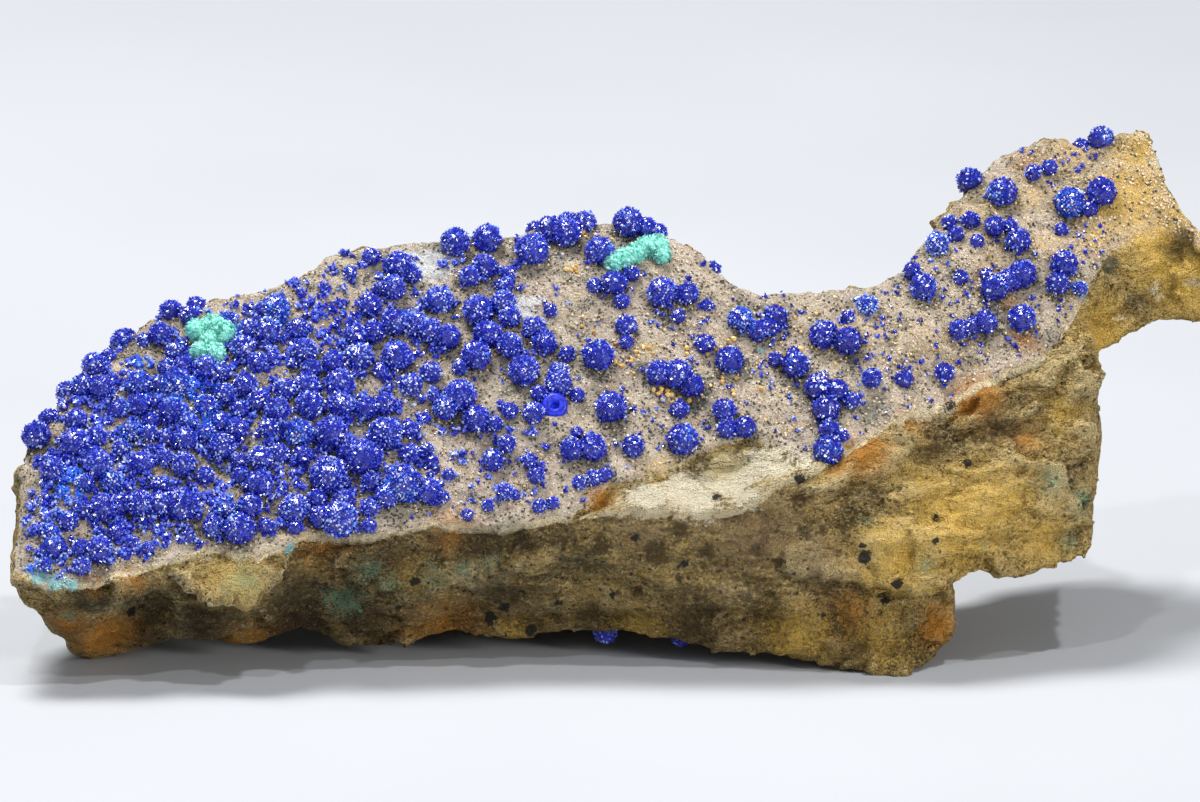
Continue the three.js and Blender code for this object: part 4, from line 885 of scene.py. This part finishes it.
def bunch(heap, place, normal, reach, count, chance):
    """A few crystals that stand close together on the rock."""
    pale = pale_at(place[None])[0]
    if reach > PEBBLE_REACH:
        corners, faces = PEBBLE
        heap.add(place + corners * reach * 0.8 * chance.uniform(0.8, 1.2, 3), faces, 0.25, 0.6 * pale)
    spots = place + chance.normal(0, 0.55 * reach, (count, 3))
    spots -= np.outer((spots - place) @ normal, normal)
    ways = unit(np.tile(normal, (count, 1)) + 0.9 * (spots - place) / reach)
    spread = np.linalg.norm(spots - place, axis=1) / reach
    spots += np.outer(0.75 * reach * np.sqrt(np.clip(1 - spread**2, 0, 1)), normal)
    half_sizes = np.array(BLADE) * chance.uniform(*BUNCH_BLADES, (count, 1)) * (0.8 + 0.8 * reach)
    # a bunch's crystals point out of the rock, so all get the painted light
    tones = np.clip(chance.normal(PAINTED_TOP_LIGHT + tone_at(place), TONE_SPREAD, count), 0, 1)
    pales = np.maximum(pale * chance.uniform(0.4, 1.2, count), whiteness_and_glints(place, count, chance))
    raised = spots + ways * half_sizes[:, :1] * 0.3
    heap.add(standing(ways, raised, half_sizes, BLADE_TILT, chance), POINTED_FACES, tones, pales)


def growth_places(tree, count, span, chance):
    """Random places on the growth face: across and up in the front view, the place and its normal."""
    front, far = EDGE_MARGINS
    for _ in range(count):
        across = chance.uniform(*span)
        low = height_on(GROWTH_EDGE, across) + front
        high = height_on(CREST, across) - far
        up = chance.uniform(low, high)
        hit = hit_from_front(tree, across, up)
        if hit:
            yield across, up, *hit


# Sand and malachite


def sand(tree):
    """Loose and standing grains of the growth face: quartz, dark minerals and yellow iron grains."""
    chance = np.random.default_rng(SAND_SEED)
    heap = Heap()
    for _, _, place, normal in growth_places(tree, SAND_TRIES, SAND_SPAN, chance):
        grain(heap, place, normal, chance.uniform(*GRAIN_SIZES), 0, chance)
    for middle_across, middle_up, spread, count in YELLOW_GRAINS:
        for _ in range(count):
            across = chance.normal(middle_across, spread)
            hit = hit_from_front(tree, across, chance.normal(middle_up, 0.7 * spread))
            if hit:
                grain(heap, *hit, chance.uniform(*YELLOW_SIZES), 1, chance)
    heap.piece("sand_grains", sand_grain(), "rock")


def grain(heap, place, normal, size, yellow, chance):
    """One lumpy grain, partly sunk in the rock. Yellow is 1 for a yellow one."""
    corners, faces = PEBBLE
    strays = 1 + GRAIN_LUMPS * chance.uniform(-1, 1, len(corners))
    shape = corners * strays[:, None] * size * chance.uniform(*GRAIN_SHAPES, 3)
    heap.add(place + normal * size * GRAIN_SEAT + shape, faces, chance.random(), yellow)


def tuft(name, lobes, seed, tree, material):
    """A tuft of malachite: small round bumps and short needles crowded over its lobes."""
    chance = np.random.default_rng(seed)
    heap = Heap()
    for across, up, radius in lobes:
        middle, normal = seat(tree, across, up, radius)
        lobe(heap, middle, radius * LOBE_SWELL, normal, chance)
    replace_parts(heap.piece(name + "_bumps", material, "malachite", smooth=True), name)


def lobe(heap, middle, radius, normal, chance):
    """One lobe of malachite: a lumpy core, then bumps, then needles."""
    corners, faces = CORE
    share, lump = LOBE_CORE
    swellings = np.array([noise.noise(Vector(corner * 3 + middle * 5)) for corner in corners])
    heap.add(middle + corners * (radius * (share + lump * swellings))[:, None], faces, 0.5, 0)
    corners, faces = BUMP
    density, least, greatest = LOBE_BUMPS
    ways = directions(int(density * radius), chance)
    for way in ways[ways @ normal > -0.3]:
        spot = middle + way * radius * chance.uniform(0.85, 1.0)
        size = chance.uniform(least, greatest) * chance.uniform(0.7, 1.4, 3)
        heap.add(spot + corners * size, faces, chance.random(), 0)
    ways = directions(int(LOBE_NEEDLES * radius), chance)
    ways = ways[ways @ normal > -0.2]
    half_sizes = np.array(NEEDLE) * chance.uniform(0.7, 1.3, (len(ways), 1))
    needles = standing(ways, middle + ways * radius * 1.05, half_sizes, NEEDLE_TILT, chance)
    heap.add(needles, POINTED_FACES, chance.uniform(0.4, 1, len(ways)), 0)


# Materials


def colour(red, green, blue):
    """A colour given as on a screen, 0 to 255, for a shader."""
    values = []
    for value in (red, green, blue):
        share = value / 255
        values.append(share / 12.92 if share <= 0.04045 else ((share + 0.055) / 1.055) ** 2.4)
    return (*values, 1.0)


class Recipe:
    """A material, with short calls for the nodes that are used often. Lengths in it are in millimetres."""

    def __init__(self, name):
        self.material = bpy.data.materials.new(name)
        self.material.use_nodes = True
        self.shader = self.material.node_tree.nodes["Principled BSDF"]
        metres = self.node("TexCoord").outputs["Object"]
        self.place = self.vector("MULTIPLY", metres, (1 / MM, 1 / MM, 1 / MM))

    def node(self, kind, operation=None, **inputs):
        made = self.material.node_tree.nodes.new("ShaderNode" + kind)
        if operation:
            made.operation = operation
        for name, value in inputs.items():
            self.feed(made.inputs[name.replace("_", " ")], value)
        return made

    def feed(self, socket, value):
        if isinstance(value, bpy.types.NodeSocket):
            self.material.node_tree.links.new(value, socket)
        else:
            socket.default_value = value

    def set(self, name, value):
        self.feed(self.shader.inputs[name], value)

    def attribute(self, name):
        made = self.node("Attribute")
        made.attribute_name = name
        return made.outputs["Fac"]

    def noise(self, scale, detail=3.0, roughness=0.55, place=None):
        made = self.node("TexNoise", Vector=place or self.place, Scale=scale, Detail=detail)
        self.feed(made.inputs["Roughness"], roughness)
        return made.outputs["Fac"]

    def noise_colour(self, scale):
        """Three unlike noises, as the parts of a vector."""
        return self.node("TexNoise", Vector=self.place, Scale=scale).outputs["Color"]

    def cells(self, scale, place=None):
        """Cells of one size: the distance from each one's middle, and a random number for each."""
        made = self.node("TexVoronoi", Vector=place or self.place, Scale=scale)
        split = self.node("SeparateColor", Color=made.outputs["Color"])
        return made.outputs["Distance"], split.outputs["Red"]

    def sum(self, a, b, operation="ADD"):
        made = self.node("Math", operation=operation)
        self.feed(made.inputs[0], a)
        self.feed(made.inputs[1], b)
        return made.outputs[0]

    def times(self, a, b):
        return self.sum(a, b, "MULTIPLY")

    def vector(self, operation, a, b):
        made = self.node("VectorMath", operation=operation)
        self.feed(made.inputs[0], a)
        self.feed(made.inputs[1], b)
        return made.outputs[0]

    def step(self, value, low, high, start=0.0, end=1.0):
        """A smooth step from start to end while a value goes from low to high."""
        made = self.node("MapRange", Value=value, From_Min=low, From_Max=high, To_Min=start, To_Max=end)
        made.interpolation_type = "SMOOTHSTEP"
        return made.outputs[0]

    def mix(self, share, first, second):
        made = self.node("Mix")
        made.data_type = "RGBA"
        self.feed(made.inputs[0], share)
        self.feed(made.inputs[6], first)
        self.feed(made.inputs[7], second)
        return made.outputs[2]

    def layered(self, tint, layers):
        """A tint with others laid over it: (value, where it starts to show, where it shows most, how much it
        hides there, tint)."""
        for value, start, full, most, layer in layers:
            tint = self.mix(self.step(value, start, full, 0, most), tint, layer)
        return tint

    def bump(self, height, depth, strength=1.0, normal=None):
        made = self.node("Bump", Height=height, Distance=depth * MM, Strength=strength)
        if normal:
            self.feed(made.inputs["Normal"], normal)
        return made.outputs["Normal"]

    def finished(self, tint, cloud, least, most, height, depth, strength):
        """The material with a tint, a roughness that follows a cloud from least to most, and a bump."""
        self.set("Base Color", tint)
        self.set("Roughness", self.step(cloud, 0.3, 0.7, least, most))
        self.set("Normal", self.bump(height, depth, strength))
        return self.material


def rock_material():
    """Sandstone: pale and grainy on the growth face, iron-stained where it is broken, with painted shade in
    hollows, under the lip and low down, and painted highlights on ridges and edges.
    """
    recipe = Recipe("rock")
    fine = recipe.noise(6.0, 3, 0.7)
    mottle = recipe.noise(2.6, 6, 0.68)
    patch = recipe.noise(0.8, 4, 0.6)
    along_beds = recipe.vector("MULTIPLY", recipe.place, (0.45, 0.8, 1.7))
    streaks = recipe.noise(0.9, 6, 0.68, along_beds)
    wander = recipe.vector("MULTIPLY", recipe.noise_colour(1.6), (0.7, 0.7, 0.7))
    flake_distance, flake = recipe.cells(2.6, recipe.vector("ADD", along_beds, wander))
    sandy, sand_height = sandy_colour(recipe, patch, mottle)
    broken = broken_colour(recipe, patch, mottle, fine, streaks, flake)
    growth = recipe.attribute("growth")
    edge = recipe.sum(growth, recipe.times(recipe.sum(mottle, -0.5), 0.8))
    whole = recipe.mix(recipe.step(edge, 0.3, 0.6), broken, sandy)
    frayed = recipe.times(recipe.sum(mottle, -0.5), 1.3)
    for name, tint, softness, grit, most in STAIN_COLOURS:
        gritty = recipe.times(recipe.sum(fine, -0.5), grit)
        field = recipe.sum(recipe.attribute(name), recipe.sum(frayed, gritty))
        whole = recipe.layered(whole, [(field, 0.5 - softness, 0.5 + softness, most, tint)])
    recipe.set("Base Color", whole)
    recipe.set("Roughness", recipe.step(mottle, 0.2, 0.8, 0.95, 0.65))
    recipe.set("Specular IOR Level", 0.35)
    crags = recipe.bump(recipe.noise(1.8, 9, 0.78), 1.1)
    flaky = recipe.sum(streaks, recipe.times(recipe.sum(flake, flake_distance, "SUBTRACT"), 0.3))
    bedded = recipe.bump(recipe.times(flaky, recipe.step(growth, 0.6, 0.2)), 0.9, 1.0, crags)
    recipe.set("Normal", recipe.bump(sand_height, 0.12, 0.9, bedded))
    return recipe.material


def sandy_colour(recipe, patch, mottle):
    """The growth face's colour, with dark dust and painted shadow round the balls, and the height of its
    grains.
    """
    distance, number = recipe.cells(7.5)
    wide = recipe.noise(0.28, 4, 0.6)
    # dark dust with painted shadow round the balls, frayed by the mottle
    dust_and_shade_here = recipe.sum(recipe.attribute("dust_and_shade"), recipe.times(recipe.sum(mottle, -0.5), 1.6))
    in_patches = recipe.step(patch, 0.42, 0.66, 0.04, 0.24)
    dark_share = recipe.sum(in_patches, recipe.step(dust_and_shade_here, 0.2, 0.9, 0.0, 0.18))
    base = recipe.mix(recipe.step(wide, 0.4, 0.62), colour(222, 202, 174), colour(222, 198, 178))
    tint = recipe.layered(base, [
        (mottle, 0.42, 0.62, 0.75, colour(240, 226, 206)),
        (mottle, 0.46, 0.32, 0.65, colour(146, 122, 102)),
        (number, 0.8, 0.95, 0.8, colour(246, 238, 222)),
        (patch, 0.5, 0.66, 0.5, colour(116, 116, 106)),
        (dust_and_shade_here, 0.3, 1.0, 0.45, colour(98, 96, 88)),
        (recipe.sum(dark_share, number, "SUBTRACT"), 0.0, 0.03, 0.85, colour(62, 64, 60)),
        (recipe.noise(1.3, 3, 0.6), 0.62, 0.72, 0.6, colour(216, 174, 96)),
    ])
    return tint, recipe.step(distance, 0.0, 0.6, 1, 0)


def broken_colour(recipe, patch, mottle, fine, streaks, flake):
    """The broken rock's colour: ochre with painted highlights on ridges, painted shade in hollows, streaks
    and flakes along the beds and black dots."""
    relief_here = recipe.attribute("relief")
    _, grit = recipe.cells(7.5)
    base = recipe.mix(recipe.step(patch, 0.36, 0.62), colour(136, 112, 54), colour(196, 160, 84))
    tint = recipe.layered(base, [
        (streaks, 0.48, 0.62, 0.8, colour(226, 198, 134)),
        (streaks, 0.44, 0.3, 0.75, colour(96, 76, 36)),
        (flake, 0.6, 1.0, 0.55, colour(238, 208, 138)),
        (flake, 0.4, 0.0, 0.5, colour(94, 70, 28)),
        # painted highlight on ridges and painted shade in hollows
        (relief_here, 0.1, 1.0, 0.7, colour(236, 212, 156)),
        (relief_here, -0.1, -1.0, 0.65, colour(78, 60, 28)),
        (mottle, 0.52, 0.66, 0.6, colour(236, 212, 156)),
        (fine, 0.48, 0.3, 0.65, colour(72, 56, 28)),
        (grit, 0.6, 1.0, 0.5, colour(240, 216, 160)),
        (grit, 0.35, 0.0, 0.5, colour(84, 64, 30)),
    ])
    distance, number = recipe.cells(1.1)
    round_dots = recipe.step(recipe.sum(distance, recipe.times(fine, 0.2)), 0.24, 0.18)
    dots = recipe.times(round_dots, recipe.step(number, 0.8, 0.82))
    tint = recipe.mix(dots, tint, colour(34, 32, 30))
    _, speck = recipe.cells(5.0)
    return recipe.layered(tint, [(speck, 0.05, 0.04, 0.8, colour(38, 36, 32))])


# Each stain's colour, and that of the painted shade and painted edge highlight among them, how soft its rim
# is, how gritty it is, and how much of the rock it hides at most
STAIN_COLOURS = [
    # olive-brown stain with painted shade in the undercut
    ("olive_and_shade", colour(50, 43, 20), 0.35, 0.3, 0.86),
    # painted shade along the bottom of the front face
    ("painted_low_shade", colour(60, 36, 0), 0.4, 0.5, 0.88),
    ("mauve", colour(146, 120, 90), 0.35, 0.3, 0.6),
    ("gold", colour(250, 203, 90), 0.35, 1.2, 0.78),
    ("cream", colour(252, 240, 210), 0.14, 0.5, 0.95),
    ("lemon", colour(206, 182, 106), 0.25, 0.4, 0.65),
    ("rust", colour(218, 142, 34), 0.35, 1.5, 0.82),
    # painted highlight along edges
    ("painted_edge_highlight", colour(255, 236, 194), 0.25, 1.2, 0.8),
    # brown spots with painted shade under the lip and in hollows
    ("brown_and_shade", colour(66, 46, 20), 0.3, 0.5, 0.75),
    ("spots", colour(70, 50, 18), 0.12, 0.3, 0.75),
    ("green", colour(122, 168, 138), 0.12, 3.4, 0.6),
    ("teal", colour(76, 88, 84), 0.2, 0.8, 0.8),
    ("white", colour(244, 246, 246), 0.15, 0.5, 0.95),
    ("cyan", colour(160, 228, 236), 0.2, 0.8, 0.9),
    ("black", colour(26, 28, 30), 0.08, 0.3, 0.95),
]


def azurite():
    """Deep blue, glassy crystals, some of them pale, with painted light on crystals that point out of the
    rock and painted glints among the white ones.
    """
    recipe = Recipe("azurite")
    tone = recipe.attribute("tone")
    pale = recipe.attribute("pale")
    cloud = recipe.noise(2.2, 3, 0.6)
    base = recipe.mix(recipe.step(tone, 0, 0.55), colour(12, 14, 98), colour(36, 52, 206))
    tint = recipe.layered(base, [
        # tone carries the painted light on crystals that point out of the rock
        (tone, 0.45, 1.0, 1, colour(124, 144, 242)),
        (cloud, 0.5, 0.8, 0.3, colour(12, 10, 80)),
        (pale, 0.05, 0.45, 1, colour(48, 118, 238)),
        # the whitest crystals, partly painted glints
        (pale, 0.45, 0.9, 1, colour(196, 208, 240)),
    ])
    recipe.set("IOR", 1.73)
    return recipe.finished(tint, cloud, 0.08, 0.24, recipe.noise(14, 3, 0.6), 0.01, 0.5)


def fresh_azurite():
    """The silky inside of a broken ball, with a fine, cloudy grain."""
    recipe = Recipe("fresh_azurite")
    cloud = recipe.noise(5, 4, 0.6)
    tint = recipe.mix(recipe.step(cloud, 0.35, 0.65), colour(8, 12, 150), colour(24, 54, 238))
    return recipe.finished(tint, cloud, 0.35, 0.55, recipe.noise(12, 3, 0.6), 0.02, 0.7)


def malachite():
    """Pale green, silky malachite."""
    recipe = Recipe("malachite")
    cloud = recipe.noise(2.4, 4, 0.6)
    base = recipe.mix(recipe.attribute("tone"), colour(88, 198, 180), colour(176, 242, 230))
    tint = recipe.layered(base, [(cloud, 0.48, 0.64, 0.8, colour(38, 140, 120))])
    return recipe.finished(tint, cloud, 0.45, 0.7, recipe.noise(11, 3, 0.6), 0.02, 0.6)


def sand_grain():
    """Sand grains: quartz, dark minerals, and yellow iron-stained ones."""
    recipe = Recipe("sand_grains")
    tone = recipe.attribute("tone")
    cloud = recipe.noise(8, 3, 0.6)
    quartz = recipe.mix(recipe.step(tone, 0.0, 1.0), colour(196, 172, 138), colour(226, 208, 178))
    sand_tint = recipe.layered(quartz, [
        (tone, 0.3, 0.28, 1, colour(58, 64, 62)),
        (tone, 0.93, 0.95, 1, colour(214, 172, 92)),
    ])
    yellow = recipe.mix(tone, colour(190, 132, 46), colour(240, 212, 140))
    either = recipe.mix(recipe.attribute("pale"), sand_tint, yellow)
    tint = recipe.layered(either, [(cloud, 0.5, 0.8, 0.4, colour(120, 96, 66))])
    return recipe.finished(tint, cloud, 0.4, 0.75, cloud, 0.02, 0.6)


def floor_material():
    """Pale, matt studio floor."""
    recipe = Recipe("floor")
    cloud = recipe.noise(0.02, 2, 0.5)
    tint = recipe.mix(cloud, colour(170, 173, 178), colour(180, 183, 188))
    return recipe.finished(tint, cloud, 0.75, 0.85, recipe.noise(2.5, 2, 0.5), 0.02, 0.3)


# The stage

CAMERA_DISTANCE = 1500
VIEW_WIDTH = 75.0  # width of the picture at the specimen
VIEW_MIDDLE = (36.25, 17.3, 7.9)  # across, up and back of what is in the picture's middle
CLIP = (0.1, 20)  # nearest and farthest that the camera sees, in metres
FLOOR_REACH = 4000  # from the middle to the floor's sides
LIGHTS_AIM = (0, 0, 12)  # where every light points, in the row frame
# Lights, (name, place, size, power in watts, tint)
LIGHTS = [
    ("key", (-120, 110, 400), 150, 2.5, (1.0, 0.99, 0.97)),
    ("spark", (140, -120, 430), 24, 0.75, (1.0, 1.0, 1.0)),
    ("glint", (-90, -230, 380), 18, 0.35, (1.0, 1.0, 1.0)),
    ("side", (360, -260, 130), 100, 1.3, (1.0, 0.96, 0.9)),
    ("fill", (-60, -480, 220), 340, 0.2, (0.94, 0.97, 1.0)),
]
SKY = ((0.8, 0.86, 0.95, 1), 0.25)  # tint and strength of the light from all round


def floor():
    """The level floor that the specimen stands on."""
    mesh = bpy.data.meshes.new("floor")
    reach = FLOOR_REACH * MM
    corners = [(-reach, -reach, 0), (reach, -reach, 0), (reach, reach, 0), (-reach, reach, 0)]
    mesh.from_pydata(corners, [], [(0, 1, 2, 3)])
    mesh.materials.append(floor_material())
    ground = bpy.data.objects.new("floor", mesh)
    bpy.context.scene.collection.objects.link(ground)
    ground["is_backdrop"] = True


def area_light(name, place, size, power, tint):
    """A square soft light, in millimetres, that faces the specimen."""
    light = bpy.data.lights.new(name, "AREA")
    light.size = size * MM
    light.energy = power
    light.color = tint
    holder = bpy.data.objects.new(name, light)
    holder.location = Vector(place) * MM
    holder.rotation_euler = (Vector(LIGHTS_AIM) - Vector(place)).to_track_quat("-Z", "Y").to_euler()
    bpy.context.scene.collection.objects.link(holder)


def lights():
    """The studio's lights and its sky."""
    for row in LIGHTS:
        area_light(*row)
    world = bpy.data.worlds.new("studio")
    world.use_nodes = True
    sky = world.node_tree.nodes["Background"]
    sky.inputs["Color"].default_value, sky.inputs["Strength"].default_value = SKY
    bpy.context.scene.world = world


def camera():
    """A long lens that looks as the front view does."""
    lens = bpy.data.cameras.new("camera")
    lens.lens = lens.sensor_width * CAMERA_DISTANCE / VIEW_WIDTH
    lens.clip_start, lens.clip_end = CLIP
    holder = bpy.data.objects.new("camera", lens)
    holder.location = Vector(seen(*VIEW_MIDDLE) - CAMERA_DISTANCE * SIGHT) * MM
    holder.rotation_euler = Vector(SIGHT).to_track_quat("-Z", "Y").to_euler()
    bpy.context.scene.collection.objects.link(holder)
    bpy.context.scene.camera = holder


# Putting it together

camera()
lights()
floor()
bpy.context.scene.view_settings.view_transform = "Standard"

noise.seed_set(NOISE_SEED)
rock = even_rock()
rock_tree = roughen(rock)
rock.polygons.foreach_set("use_smooth", [True] * len(rock.polygons))
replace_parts(add_piece("rock", rock, rock_material()), "matrix")
blue = azurite()
azurite_pieces(rock_tree, blue)
small_azurite(rock_tree, blue)
broken_ball(rock_tree)
sand(rock_tree)
green = malachite()
tuft("malachite_tuft_left", LEFT_TUFT, LEFT_TUFT_SEED, rock_tree, green)
tuft("malachite_tuft_top", TOP_TUFT, TOP_TUFT_SEED, rock_tree, green)

boxes = {"cad": cad_box, "visual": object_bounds()}
{name: [list(corner) for corner in box] for name, box in boxes.items()}
